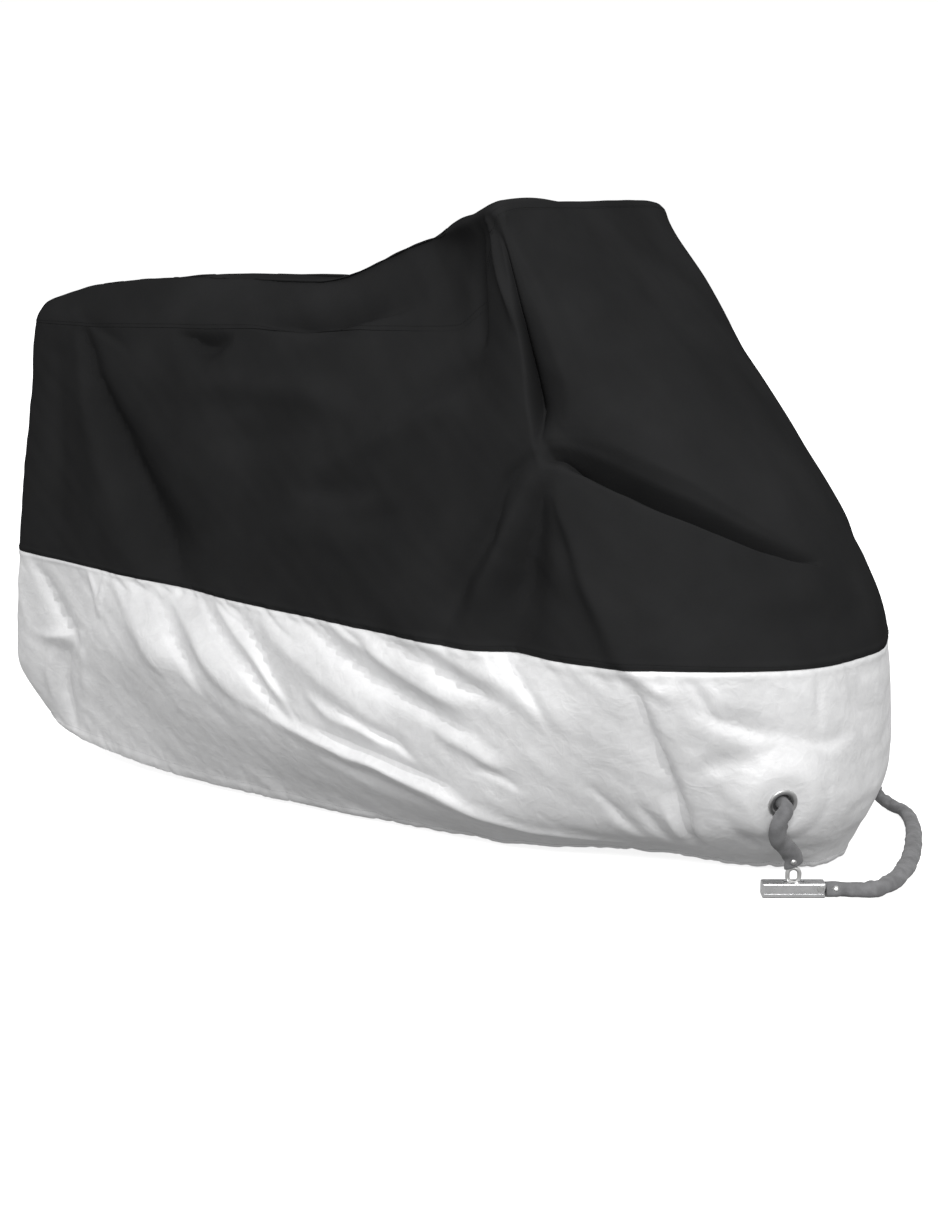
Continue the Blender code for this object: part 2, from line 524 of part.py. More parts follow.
def sleeve_way():
    """Even points along the smooth curve through SLEEVE_WAY."""
    marks = np.array(SLEEVE_WAY)
    reach = np.concatenate([[0], np.cumsum(np.linalg.norm(np.diff(marks, axis=0), axis=1))])
    slope = np.gradient(marks, reach, axis=0)
    fine = np.linspace(0, reach[-1], 1500)
    cell = np.clip(np.searchsorted(reach, fine, side="right") - 1, 0, len(reach) - 2)
    run = (reach[cell + 1] - reach[cell])[:, None]
    t = (fine - reach[cell])[:, None] / run
    dense = ((2 * t**3 - 3 * t**2 + 1) * marks[cell] + (t**3 - 2 * t**2 + t) * run * slope[cell]
             + (3 * t**2 - 2 * t**3) * marks[cell + 1] + (t**3 - t**2) * run * slope[cell + 1])
    length = np.concatenate([[0], np.cumsum(np.linalg.norm(np.diff(dense, axis=0), axis=1))])
    even = np.linspace(0, length[-1], round(length[-1] / SLEEVE_STEP) + 1)
    return np.stack([np.interp(even, length, dense[:, axis]) for axis in range(3)], axis=1)


def rivet(name, end, inner, facing):
    """Rivet that closes the sleeve, between its end and the next point of its curve."""
    facing = np.cross(np.cross(inner - end, facing), inner - end)
    facing /= np.linalg.norm(facing)
    seat = (end + inner) / 2 + (SLEEVE_RADIUS + SEAM_GAP) * facing
    return rod(name, RIVET_RADIUS, 0.6 * RIVET_RADIUS, RIVET_HIGH, facing_place(seat, facing))


def build():
    """Make every part and give it its material."""
    finishes = {
        "black_cloth": material("black_cloth", (0.012, 0.012, 0.013), 0.6),
        "silver_cloth": material("silver_cloth", (0.60, 0.61, 0.62), 0.42),
        "eyelet_metal": material("eyelet_metal", (0.62, 0.62, 0.60), 0.35, 1.0),
        "lock_steel": material("lock_steel", (0.66, 0.67, 0.68), 0.28, 1.0),
        "sleeve_cloth": material("sleeve_cloth", (0.19, 0.19, 0.19), 0.8)}
    cover = Cover()
    parts = [(cloth_piece(cover, "top_panel"), "black_cloth"),
             (cloth_piece(cover, "side_panel"), "black_cloth")]
    skirt = cloth_piece(cover, "skirt")
    parts.append((skirt, "silver_cloth"))
    for name, (centre, facing) in zip(("eyelet_right", "eyelet_left"), eyelet_places()):
        parts.append((eyelet(name, centre, facing), "eyelet_metal"))
        hole = EYELET_BARREL + SEAM_GAP
        through = facing_place(centre - 0.01 * facing, facing)
        cut_with(skirt, rod(name + "_cutter", hole, hole, 0.02, through))
    way = sleeve_way()
    parts += [(lock_body(), "lock_steel"), (lock_plug(), "lock_steel"),
              (chain_link(), "lock_steel"), (tube("chain_sleeve", way, SLEEVE_RADIUS), "sleeve_cloth"),
              (rivet("rivet_near", way[0], way[1], (0.46, -0.89, 0.10)), "lock_steel"),
              (rivet("rivet_far", way[-1], way[-2], (0.46, -0.89, 0.35)), "lock_steel")]
    for part, finish in parts:
        part.data.materials.append(finishes[finish])


def clear_scene():
    """Remove what a new file starts with."""
    for thing in list(bpy.data.objects):
        bpy.data.objects.remove(thing, do_unlink=True)


clear_scene()
build()
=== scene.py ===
"""Two-colour motorcycle cover, hanging as it does over a parked motorcycle, with its chain lock.

Metres.  +X is towards the front wheel, +Y to the motorcycle's left, +Z up.
"""

import math

import bpy
import numpy as np
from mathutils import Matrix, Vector


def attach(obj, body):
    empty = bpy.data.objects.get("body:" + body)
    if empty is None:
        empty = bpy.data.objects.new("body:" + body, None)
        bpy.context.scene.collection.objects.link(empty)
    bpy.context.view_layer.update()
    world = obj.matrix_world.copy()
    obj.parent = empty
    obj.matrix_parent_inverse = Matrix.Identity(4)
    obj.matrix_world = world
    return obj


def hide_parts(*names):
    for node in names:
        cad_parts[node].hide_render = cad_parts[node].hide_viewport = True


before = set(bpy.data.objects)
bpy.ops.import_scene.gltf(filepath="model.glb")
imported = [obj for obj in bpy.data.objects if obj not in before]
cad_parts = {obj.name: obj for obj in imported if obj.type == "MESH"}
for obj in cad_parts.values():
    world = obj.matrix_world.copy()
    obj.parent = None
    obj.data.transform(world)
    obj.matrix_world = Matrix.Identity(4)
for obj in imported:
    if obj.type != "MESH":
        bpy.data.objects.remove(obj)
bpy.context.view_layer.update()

scene = bpy.context.scene

# ---------------------------------------------------------------------------------------------
# Camera: a standing viewer's look at the right side of the cover, from ahead of its middle,
# with a lens long enough to keep the cover's lines straight.

look_at = Vector((0.1225, 0.0, 0.41))
look_turn, look_down, look_from = math.radians(27.5), math.radians(12.0), 4.05
back_to_eye = Vector((math.sin(look_turn) * math.cos(look_down),
                      -math.cos(look_turn) * math.cos(look_down), math.sin(look_down)))
lens = bpy.data.cameras.new("camera")
lens.sensor_width = 36.0
lens.lens = 58.5
camera = bpy.data.objects.new("camera", lens)
camera.location = look_at + look_from * back_to_eye
camera.rotation_mode = "QUATERNION"
camera.rotation_quaternion = (-back_to_eye).to_track_quat("-Z", "Y")
scene.collection.objects.link(camera)
scene.camera = camera

# ---------------------------------------------------------------------------------------------
# Chain sleeve: a flat woven polyester tube drawn over a lock chain.  It hangs from the lock's
# link into the right eyelet, crosses inside the cover, leaves by the left eyelet and lies on the
# ground round the nose, back to the lock.  Each end is closed by one rivet.

RIGHT, LEFT = -1, 1
EYELET_CENTRE = (0.895, 0.283, 0.184)           # of the left one; the right one mirrors it
SLEEVE_HALF_WIDE, SLEEVE_HALF_THICK = 0.0170, 0.0125
SLEEVE_IN_EYELET = 0.0130
SLEEVE_AT_LINK, SLEEVE_AT_LOCK = (0.0225, 0.0090), (0.0175, 0.0135)     # half width, thickness
SLEEVE_GIRTH = 0.095
BUNCHED, BUNCHED_IN_BEND = 0.0011, 0.00022      # height of its puckers, and more inside a bend
SLEEVE_ROUND, SLEEVE_STEP = 36, 0.005
SLEEVE_MOUTH = ((0.55, 0.010), (0.80, 0.004), (0.92, -0.0006))          # share of the ring, depth
MOUTH_AT = np.array([0.014, 0.007, 0.001])      # and how far its UV runs past the end
SLEEVE_GREY = (0.185, 0.185, 0.19)
RIB_PITCH, WARP_PITCH = 0.0022, 0.0016
SLEEVE_WAY = (
    (0.9070, -0.2440, 0.0590), (0.9060, -0.2480, 0.0750), (0.8980, -0.2740, 0.1030),
    (0.8940, -0.3050, 0.1320), (0.9010, -0.3090, 0.1620), (0.9080, -0.2990, 0.1800),
    (0.8950, -0.2830, 0.1840), (0.8750, -0.2560, 0.1830), (0.8600, -0.1900, 0.1740),
    (0.8520, -0.1000, 0.1660), (0.8500, 0.0000, 0.1640), (0.8520, 0.1000, 0.1660),
    (0.8600, 0.1900, 0.1740), (0.8750, 0.2560, 0.1830), (0.8950, 0.2830, 0.1840),
    (0.9080, 0.3000, 0.1790), (0.9040, 0.3130, 0.1540), (0.8940, 0.3220, 0.1120),
    (0.8880, 0.3320, 0.0660), (0.8960, 0.3400, 0.0270), (0.9250, 0.3300, 0.0145),
    (0.9600, 0.3000, 0.0145), (0.9980, 0.2250, 0.0145), (1.0270, 0.1300, 0.0145),
    (1.0500, 0.0200, 0.0145), (1.0580, -0.0700, 0.0145), (1.0520, -0.1400, 0.0145),
    (1.0340, -0.1830, 0.0145), (1.0080, -0.1960, 0.0144), (0.9830, -0.2045, 0.0142),
    (0.9589, -0.2170, 0.0142),
)


def eased(share):
    """Smooth step from 0 to 1."""
    share = np.clip(share, 0.0, 1.0)
    return share * share * (3 - 2 * share)


def unit(vectors):
    """Vectors of length 1."""
    return vectors / np.maximum(np.linalg.norm(vectors, axis=-1, keepdims=True), 1e-12)


def reach_along(line):
    """Distance of each point of a line from its first."""
    return np.concatenate([[0], np.cumsum(np.linalg.norm(np.diff(line, axis=0), axis=1))])


def smooth_between(start, end, leaving, arriving, t, run):
    """Cubic from start to end with the given slopes, at the share t of the run between them."""
    return ((2 * t**3 - 3 * t**2 + 1) * start + (t**3 - 2 * t**2 + t) * run * leaving
            + (3 * t**2 - 2 * t**3) * end + (t**3 - t**2) * run * arriving)


def curve_through(marks, step):
    """Even points along the smooth curve through the marks, and their distance from its start."""
    marks = np.asarray(marks, float)
    reach = reach_along(marks)
    slope = np.gradient(marks, reach, axis=0)
    fine = np.linspace(0, reach[-1], max(60, int(reach[-1] / step * 4)))
    cell = np.clip(np.searchsorted(reach, fine, side="right") - 1, 0, len(reach) - 2)
    run = (reach[cell + 1] - reach[cell])[:, None]
    t = (fine - reach[cell])[:, None] / run
    dense = smooth_between(marks[cell], marks[cell + 1], slope[cell], slope[cell + 1], t, run)
    length = reach_along(dense)
    even = np.linspace(0, length[-1], max(2, round(length[-1] / step) + 1))
    return np.stack([np.interp(even, length, dense[:, axis]) for axis in range(3)], axis=1), even


def rumple(points, size, seed):
    """Smooth noise, about -1 to 1, with lumps of the given size (one number or one per axis)."""
    chance = np.random.default_rng(seed)
    mixed = chance.permutation(256)
    slopes = unit(chance.normal(size=(256, 3)))
    at = np.asarray(points, float) / size
    cell = np.floor(at).astype(int)
    part = at - cell
    ease = part**3 * (part * (6 * part - 15) + 10)
    total = np.zeros(at.shape[:-1])
    for corner in np.ndindex(2, 2, 2):
        corner = np.array(corner)
        i, j, k = np.moveaxis((cell + corner) & 255, -1, 0)
        pick = mixed[(mixed[(mixed[i] + j) & 255] + k) & 255]
        weight = np.where(corner, ease, 1 - ease).prod(axis=-1)
        total += weight * ((part - corner) * slopes[pick]).sum(axis=-1)
    return 1.7 * total


def mesh_piece(name, points, faces, corner_uv=None, smooth=True, rims=()):
    """New object from points and faces, with a UV for each corner; rims are closed sharp edges."""
    mesh = bpy.data.meshes.new(name)
    faces = [tuple(face) for face in faces]
    mesh.from_pydata([tuple(point) for point in points], [], faces)
    mesh.polygons.foreach_set("use_smooth", [smooth] * len(mesh.polygons))
    if rims:
        rim_of = np.zeros(len(mesh.vertices), int)
        for number, rim in enumerate(rims, 1):
            rim_of[rim] = number
        ends = np.zeros(2 * len(mesh.edges), np.int32)
        mesh.edges.foreach_get("vertices", ends)
        one, other = rim_of[ends[::2]], rim_of[ends[1::2]]
        sharp = mesh.attributes.new("sharp_edge", "BOOLEAN", "EDGE")
        sharp.data.foreach_set("value", (one > 0) & (one == other))
    if corner_uv is not None:
        layer = mesh.uv_layers.new(name="UVMap")
        layer.data.foreach_set("uv", np.asarray(corner_uv, np.float32).ravel())
    piece = bpy.data.objects.new(name, mesh)
    scene.collection.objects.link(piece)
    return piece


class Shade:
    """A material being made: one method adds any node, and sockets come back as Sockets."""

    def __init__(self, name):
        self.material = bpy.data.materials.new(name)
        self.material.use_nodes = True
        self.tree = self.material.node_tree
        self.principled = self.tree.nodes["Principled BSDF"]

    def node(self, kind, out=0, settings=None, **values):
        """Add a node, set its settings first and then its inputs, and give back an output."""
        made = self.tree.nodes.new(kind)
        for key, value in (settings or {}).items():
            setattr(made, key, value)
        for key, value in values.items():
            plug = made.inputs[int(key[1:]) if key[0] == "i" and key[1:].isdigit()
                               else key.replace("_", " ")]
            if isinstance(value, Socket):
                self.tree.links.new(value.plug, plug)
            else:
                plug.default_value = value
        return Socket(self, made.outputs[out])

    def noise(self, place, scale, detail, **more):
        """Noise from 0 to 1 at a place."""
        return self.node("ShaderNodeTexNoise", Vector=place, Scale=scale, Detail=detail, **more)

    def weave(self, wide, long):
        """Threads of a plain weave, for a UV in metres: 1 on a crossing, -1 in a hollow."""
        across, along = self.apart(self.node("ShaderNodeTexCoord", out="UV"))[:2]
        return (across * (math.tau / wide)).sine() * (along * (math.tau / long)).sine()

    def feed(self, name, value):
        """Link or set one input of the main shader."""
        plug = self.principled.inputs[name]
        if isinstance(value, Socket):
            self.tree.links.new(value.plug, plug)
        else:
            plug.default_value = (*value, 1.0) if isinstance(value, tuple) else value

    def mixed(self, share, one, other):
        """Colour between one and other."""
        made = self.tree.nodes.new("ShaderNodeMix")
        made.data_type = "RGBA"
        for plug, value in zip((made.inputs[0], made.inputs[6], made.inputs[7]),
                               (share, one, other)):
            if isinstance(value, Socket):
                self.tree.links.new(value.plug, plug)
            else:
                plug.default_value = (*value, 1.0) if isinstance(value, tuple) else value
        return Socket(self, made.outputs[2])

    def apart(self, vector):
        """The three numbers of a vector."""
        made = self.node("ShaderNodeSeparateXYZ", i0=vector).plug.node
        return [Socket(self, plug) for plug in made.outputs]

    def bump(self, height, strength, distance):
        """Feed the main shader's normal with a height in metres times distance."""
        made = self.node("ShaderNodeBump", Height=height, Strength=strength, Distance=distance)
        self.feed("Normal", made)


class Socket:
    """An output of a node that takes part in sums."""

    def __init__(self, shade, plug):
        self.shade, self.plug = shade, plug

    def sum(self, how, one, other=0.0):
        return self.shade.node("ShaderNodeMath", settings={"operation": how}, i0=one, i1=other)

    def __add__(self, other): return self.sum("ADD", self, other)
    def __radd__(self, other): return self.sum("ADD", other, self)
    def __sub__(self, other): return self.sum("SUBTRACT", self, other)
    def __rsub__(self, other): return self.sum("SUBTRACT", other, self)
    def __mul__(self, other): return self.sum("MULTIPLY", self, other)
    def __rmul__(self, other): return self.sum("MULTIPLY", other, self)
    def sine(self): return self.sum("SINE", self)
    def size(self): return self.sum("ABSOLUTE", self)
    def at_most(self, most): return self.sum("MINIMUM", self, most)
    def lift(self, low, high): return self.shade.node(
        "ShaderNodeMapRange", settings={"interpolation_type": "SMOOTHSTEP"},
        i0=self, i1=low, i2=high, i3=0.0, i4=1.0)


class Growth(Shade):
    """A Geometry Nodes tree being made, with named inputs; it ends in plain mesh."""

    def __init__(self, name, **sizes):
        self.tree = bpy.data.node_groups.new(name, "GeometryNodeTree")
        plugs = self.tree.interface
        plugs.new_socket("Geometry", in_out="INPUT", socket_type="NodeSocketGeometry")
        for key, value in sizes.items():
            plugs.new_socket(key, in_out="INPUT", socket_type="NodeSocketInt"
                             if isinstance(value, int) else "NodeSocketFloat")
        plugs.new_socket("Geometry", in_out="OUTPUT", socket_type="NodeSocketGeometry")
        self.sizes = sizes
        self.given = {plug.name: Socket(self, plug)
                      for plug in self.tree.nodes.new("NodeGroupInput").outputs if plug.name}

    def grown(self, name, base, result, material):
        """New object: what the tree makes of the base mesh, as plain mesh."""
        real = self.node("GeometryNodeRealizeInstances", Geometry=result)
        real = self.node("GeometryNodeSetMaterial", Geometry=real, Material=material)
        self.tree.links.new(real.plug, self.tree.nodes.new("NodeGroupOutput").inputs[0])
        holder = bpy.data.objects.new(name + "_line", base)
        scene.collection.objects.link(holder)
        run = holder.modifiers.new("grow", "NODES")
        run.node_group = self.tree
        for item in self.tree.interface.items_tree:
            if item.in_out == "INPUT" and item.name in self.sizes:
                run[item.identifier] = self.sizes[item.name]
        seen = holder.evaluated_get(bpy.context.evaluated_depsgraph_get())
        piece = bpy.data.objects.new(name, bpy.data.meshes.new_from_object(seen))
        bpy.data.objects.remove(holder)
        scene.collection.objects.link(piece)
        return piece


def toned(colour, amount):
    """The colour made darker or lighter."""
    return tuple(amount * part for part in colour)


def sleeve_cloth():
    """Grey polyester webbing: ribs across, fine warp threads along, patches of wear."""
    shade = Shade("woven_sleeve")
    place = shade.node("ShaderNodeTexCoord", out="Object")
    weave = shade.weave(WARP_PITCH, RIB_PITCH)
    patch, thread = shade.noise(place, 38.0, 5.0), shade.noise(place, 900.0, 2.0)
    tone = patch * 0.7 + thread * 0.3 + weave * 0.10
    shade.feed("Base Color", shade.mixed(tone.lift(0.25, 0.80), toned(SLEEVE_GREY, 0.62),
                                         toned(SLEEVE_GREY, 1.30)))
    shade.feed("Roughness", 0.62 + 0.18 * thread)
    shade.feed("Specular IOR Level", 0.35)
    shade.feed("Sheen Weight", 0.15)
    shade.bump(weave * 0.5 + thread * 0.5, 0.55, 0.0006)
    return shade.material


sleeve_line, sleeve_at = curve_through(SLEEVE_WAY, SLEEVE_STEP)
sleeve_line[:, 2] -= 0.0012 * eased((0.03 - sleeve_line[:, 2]) / 0.012)     # lies on the ground
sleeve_long = sleeve_at[-1]
sleeve_ahead = unit(np.gradient(sleeve_line, axis=0))
bend = np.gradient(sleeve_ahead, sleeve_at, axis=0)
# Its flat face is turned out from the cover, and up where it lies on the ground
out_or_up = unit(sleeve_line * (1, 1, 0) - (0.45, 0, 0))
out_or_up = unit(out_or_up + np.array([0, 0, 2.5]) * eased((0.045 - sleeve_line[:, 2:]) / 0.025))
flat_way = unit(np.cross(out_or_up, sleeve_ahead))
thin_way = np.cross(sleeve_ahead, flat_way)

# Its width and thickness wander, and give way where it is drawn through an eyelet or riveted
eyelet_gap = np.minimum(*[np.linalg.norm(sleeve_line - np.array(EYELET_CENTRE) * (1, side, 1),
                                         axis=1) for side in (RIGHT, LEFT)])
pinch = 1 - eased((eyelet_gap - 0.012) / 0.022)
end_gap = np.minimum(sleeve_at, sleeve_long - sleeve_at)
closed = 1 - eased((end_gap - 0.006) / 0.024)
along_it = np.stack([sleeve_at] * 3, axis=1)
half_wide = SLEEVE_HALF_WIDE * (1 + 0.10 * rumple(along_it, 0.045, 4))
half_thick = SLEEVE_HALF_THICK * (1 + 0.08 * rumple(along_it, 0.030, 5))
from_link = sleeve_at < 0.5 * sleeve_long
half_wide += closed * (np.where(from_link, SLEEVE_AT_LINK[0], SLEEVE_AT_LOCK[0]) - half_wide)
half_thick += closed * (np.where(from_link, SLEEVE_AT_LINK[1], SLEEVE_AT_LOCK[1]) - half_thick)
half_wide += pinch * (SLEEVE_IN_EYELET - half_wide)
half_thick += pinch * (SLEEVE_IN_EYELET - 0.001 - half_thick)

angle = np.linspace(0, math.tau, SLEEVE_ROUND, endpoint=False)
cos, sin = np.cos(angle), np.sin(angle)
out = (half_wide[:, None, None] * cos[None, :, None] * flat_way[:, None]
       + (half_thick[:, None] * (sin * (1 - 0.18 * cos**2)))[..., None] * thin_way[:, None])
out_way = unit(out)
inner_bend = (out_way * bend[:, None]).sum(axis=-1).clip(0, 14)
slack = np.stack(np.broadcast_arrays(cos, sin, sleeve_at[:, None] / SLEEVE_HALF_WIDE), axis=-1)
bunch = rumple(slack, (1.1, 1.1, 1.0), 6)
fine_bunch = rumple(slack * (1, 1, 2.3), (0.8, 0.8, 1.0), 7)
amount = (BUNCHED + BUNCHED_IN_BEND * inner_bend) * (1 - 0.7 * pinch - 0.5 * closed)[:, None]
out += (amount * (bunch + 0.45 * fine_bunch))[..., None] * out_way
rings = sleeve_line[:, None] + out
rings[..., 2] = np.maximum(rings[..., 2], 0.0006)

# The two mouths: the cloth turns in, and a disc of the same cloth closes each
first, last = ([sleeve_line[end] + share * (rings[end] - sleeve_line[end])
                + inward * deep * sleeve_ahead[end] for share, deep in SLEEVE_MOUTH]
               for end, inward in ((0, 1), (-1, -1)))
rings = np.concatenate([first, rings, last[::-1]])
ring_at = np.concatenate([-MOUTH_AT, sleeve_at, sleeve_long + MOUTH_AT[::-1]])
ends = np.array([rings[0].mean(axis=0), rings[-1].mean(axis=0)])
points = np.concatenate([rings.reshape(-1, 3), ends])
faces, uvs = [], []
wrap = np.linspace(0, SLEEVE_GIRTH, SLEEVE_ROUND + 1)
for ring in range(len(rings) - 1):
    for k in range(SLEEVE_ROUND):
        a, b = ring * SLEEVE_ROUND + k, ring * SLEEVE_ROUND + (k + 1) % SLEEVE_ROUND
        faces.append((a, b, b + SLEEVE_ROUND, a + SLEEVE_ROUND))
        uvs += [(wrap[k], ring_at[ring]), (wrap[k + 1], ring_at[ring]),
                (wrap[k + 1], ring_at[ring + 1]), (wrap[k], ring_at[ring + 1])]
foot, total = (len(rings) - 1) * SLEEVE_ROUND, len(rings) * SLEEVE_ROUND
for k in range(SLEEVE_ROUND):
    after = (k + 1) % SLEEVE_ROUND
    faces += [(after, k, total), (foot + k, foot + after, total + 1)]
    uvs += [(wrap[k + 1], ring_at[0]), (wrap[k], ring_at[0]), (wrap[k], ring_at[0]),
            (wrap[k], ring_at[-1]), (wrap[k + 1], ring_at[-1]), (wrap[k], ring_at[-1])]
sleeve = mesh_piece("sleeve", points, faces, uvs)
sleeve.data.materials.append(sleeve_cloth())
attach(sleeve, "root")
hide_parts("chain_sleeve")

# ---------------------------------------------------------------------------------------------
# Metal of the lock and chain: the bar lock's chromed steel body with its key plug, the steel
# link that stands in the lock's slot, and the plain rivets through the sleeve's ends.


def worn_metal(name, colour, rough, grain, brushed=0.0):
    """Plated metal with fine scratches, dull patches and brighter edges."""
    shade = Shade(name)
    place = shade.node("ShaderNodeTexCoord", out="Object")
    patch = shade.noise(place, grain, 6.0, Roughness=0.6)
    drawn = shade.node("ShaderNodeMapping", Vector=place, Scale=(900.0, 900.0, 60.0))
    line = shade.noise(drawn, 1.0, 3.0)
    edge = shade.node("ShaderNodeNewGeometry", out="Pointiness").lift(0.47, 0.56)
    tone = (patch * 0.6 + line * 0.4).lift(0.2, 0.8)
    worn = shade.mixed(tone, toned(colour, 0.72), colour)
    bright = tuple(min(1, part) for part in toned(colour, 1.2))
    shade.feed("Base Color", shade.mixed(edge * 0.35, worn, bright))
    shade.feed("Metallic", 1.0)
    shade.feed("Roughness", rough + 0.16 * patch + brushed * line)
    shade.bump(line, 0.12, 0.0002)
    return shade.material


chrome = worn_metal("lock_chrome", (0.90, 0.90, 0.91), rough=0.20, grain=60.0)
zinc = worn_metal("link_zinc", (0.74, 0.74, 0.73), rough=0.28, grain=90.0)
for node, made in (("lock_body", chrome), ("lock_plug", zinc), ("chain_link", zinc),
                   ("rivet_near", zinc), ("rivet_far", zinc)):
    metal_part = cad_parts[node]
    metal_part.data.materials.clear()
    metal_part.data.materials.append(made)
    metal_part.data.polygons.foreach_set("use_smooth", [True] * len(metal_part.data.polygons))
    metal_part.data.set_sharp_from_angle(angle=math.radians(34))

# ---------------------------------------------------------------------------------------------
# The cover's form: the shape that the motorcycle gives the cloth, before its smaller folds.
# Each post is a line down the right half from the top edge to the hem; the left half mirrors
# it.  The cloth is coated polyester under a millimetre thick, cut into a top panel, a belt of
# side panel and a skirt.

COATED_CLOTH = 0.0010
RIB_Z, KNEE_Z = 0.79, 0.60
EDGE, SEAM, RIB, KNEE, BAND, TURN, HEM = 0, 2, 6, 10, 14, 20, 24      # rows, from the top edge
TAIL, RACK, BAR_END, NOSE = 0, 12, 40, 52                             # columns, from the tail
POSTS = (            # name, columns to the next post, a point for each row (RIB, KNEE: x, y)
    ("tail", 4, (-0.924, 0.000, 0.992), (-0.922, 0.000, 0.962), (-0.952, 0.000), (-0.986, 0.000),
     (-0.990, 0.000, 0.461), (-0.990, 0.000, 0.222), (-0.898, 0.000, 0.113)),
    ("tail_corner", 8, (-0.886, 0.070, 1.008), (-0.897, 0.095, 0.968), (-0.912, 0.110),
     (-0.930, 0.125), (-0.932, 0.145, 0.467), (-0.950, 0.147, 0.222), (-0.872, 0.130, 0.086)),
    ("rack", 8, (-0.720, 0.095, 1.051), (-0.720, 0.150, 0.968), (-0.720, 0.170), (-0.720, 0.185),
     (-0.720, 0.200, 0.460), (-0.720, 0.200, 0.315), (-0.690, 0.158, 0.034)),
    ("seat", 8, (-0.445, 0.105, 1.072), (-0.430, 0.170, 0.974), (-0.415, 0.220), (-0.400, 0.250),
     (-0.390, 0.262, 0.444), (-0.380, 0.315, 0.280), (-0.370, 0.205, 0.014)),
    ("tank", 6, (-0.138, 0.115, 1.073), (-0.115, 0.203, 0.985), (-0.080, 0.280),
     (-0.040, 0.325), (0.000, 0.345, 0.435), (0.000, 0.368, 0.200), (0.000, 0.232, 0.010)),
    ("rise", 6, (0.110, 0.165, 1.152), (0.250, 0.290, 0.999), (0.270, 0.360),
     (0.280, 0.390), (0.300, 0.405, 0.430), (0.310, 0.385, 0.135), (0.310, 0.240, 0.008)),
    ("bar_end", 5, (0.368, 0.378, 1.214), (0.378, 0.382, 1.202), (0.500, 0.415),
     (0.550, 0.420), (0.580, 0.420, 0.430), (0.590, 0.330, 0.110), (0.580, 0.185, 0.019)),
    ("front_side", 4, (0.380, 0.270, 1.228), (0.390, 0.272, 1.215), (0.690, 0.290),
     (0.785, 0.280), (0.820, 0.345, 0.430), (0.850, 0.290, 0.140), (0.790, 0.140, 0.005)),
    ("front_corner", 3, (0.385, 0.130, 1.230), (0.396, 0.131, 1.216), (0.757, 0.145),
     (0.880, 0.155), (0.940, 0.185, 0.419), (0.965, 0.160, 0.160), (0.895, 0.090, 0.005)),
    ("nose", 0, (0.388, 0.000, 1.230), (0.400, 0.000, 1.216), (0.783, 0.000),
     (0.913, 0.000), (0.990, 0.000, 0.416), (0.990, 0.000, 0.170), (0.930, 0.000, 0.005)),
)
FINE = 8             # form points to a row or column
SOFT_DOWN, SOFT_ROUND = 3.5, 4.0     # form points that its edges are softened over
TOP_ARCH = ((0.0, 0.0), (0.25, 0.010), (0.60, -0.016), (0.80, -0.028), (1.0, 0.0))


def smooth_through(knots, values, at):
    """Smooth curve through the values that never swings past them."""
    knots, values, at = np.asarray(knots, float), np.asarray(values, float), np.asarray(at, float)
    step = np.diff(knots)[:, None]
    rise = np.diff(values, axis=0) / step
    slope = np.zeros_like(values)
    slope[0], slope[-1] = rise[0], rise[-1]
    before, after = rise[:-1], rise[1:]
    same = before * after > 0
    slope[1:-1] = np.where(same, 2 * before * after / np.where(same, before + after, 1.0), 0.0)
    cell = np.clip(np.searchsorted(knots, at, side="right") - 1, 0, len(knots) - 2)
    t = ((at - knots[cell]) / step[cell, 0])[:, None]
    run = step[cell]
    return smooth_between(values[cell], values[cell + 1], slope[cell], slope[cell + 1], t, run)


def blurred(grid, cells, axis, round_it):
    """Grid with a soft mean taken along one axis; a row at an open end keeps its place."""
    far = int(3 * cells)
    weights = np.exp(-0.5 * (np.arange(-far, far + 1) / cells) ** 2)
    grid = np.moveaxis(grid, axis, 0)
    if round_it:
        wide = np.concatenate([grid[-far:], grid, grid[:far]])
    else:
        wide = np.concatenate([2 * grid[:1] - grid[far:0:-1], grid,
                               2 * grid[-1:] - grid[-2:-far - 2:-1]])
    mean = sum(w * wide[k:k + len(grid)] for k, w in enumerate(weights / weights.sum()))
    return np.moveaxis(mean, 0, axis)


post_columns = np.cumsum([0] + [post[1] for post in POSTS[:-1]])
levels = np.array([[post[2], post[3], (*post[4], RIB_Z), (*post[5], KNEE_Z), *post[6:]]
                   for post in POSTS])
levels = smooth_through(post_columns, levels.reshape(len(POSTS), -1),
                        np.arange(NOSE * FINE + 1) / FINE).reshape(-1, 7, 3)
fine_rows = np.arange(HEM * FINE + 1) / FINE
right = smooth_through((EDGE, SEAM, RIB, KNEE, BAND, TURN, HEM),
                       levels.transpose(1, 0, 2).reshape(7, -1),
                       fine_rows).reshape(len(fine_rows), -1, 3)
left = right[:, -2:0:-1].copy()
right[:, :, 1] *= -1
form = np.concatenate([right, left], axis=1)
soft = blurred(blurred(form, SOFT_DOWN, 0, False), SOFT_ROUND, 1, True)
form += eased((fine_rows - 1.0) / 4.0)[:, None, None] * (soft - form)


def cubic_weights(t):
    """Weights of four points in a row, for a place between the middle two."""
    return (-0.5 * t + t**2 - 0.5 * t**3, 1 - 2.5 * t**2 + 1.5 * t**3,
            0.5 * t + 2 * t**2 - 1.5 * t**3, -0.5 * t**2 + 0.5 * t**3)


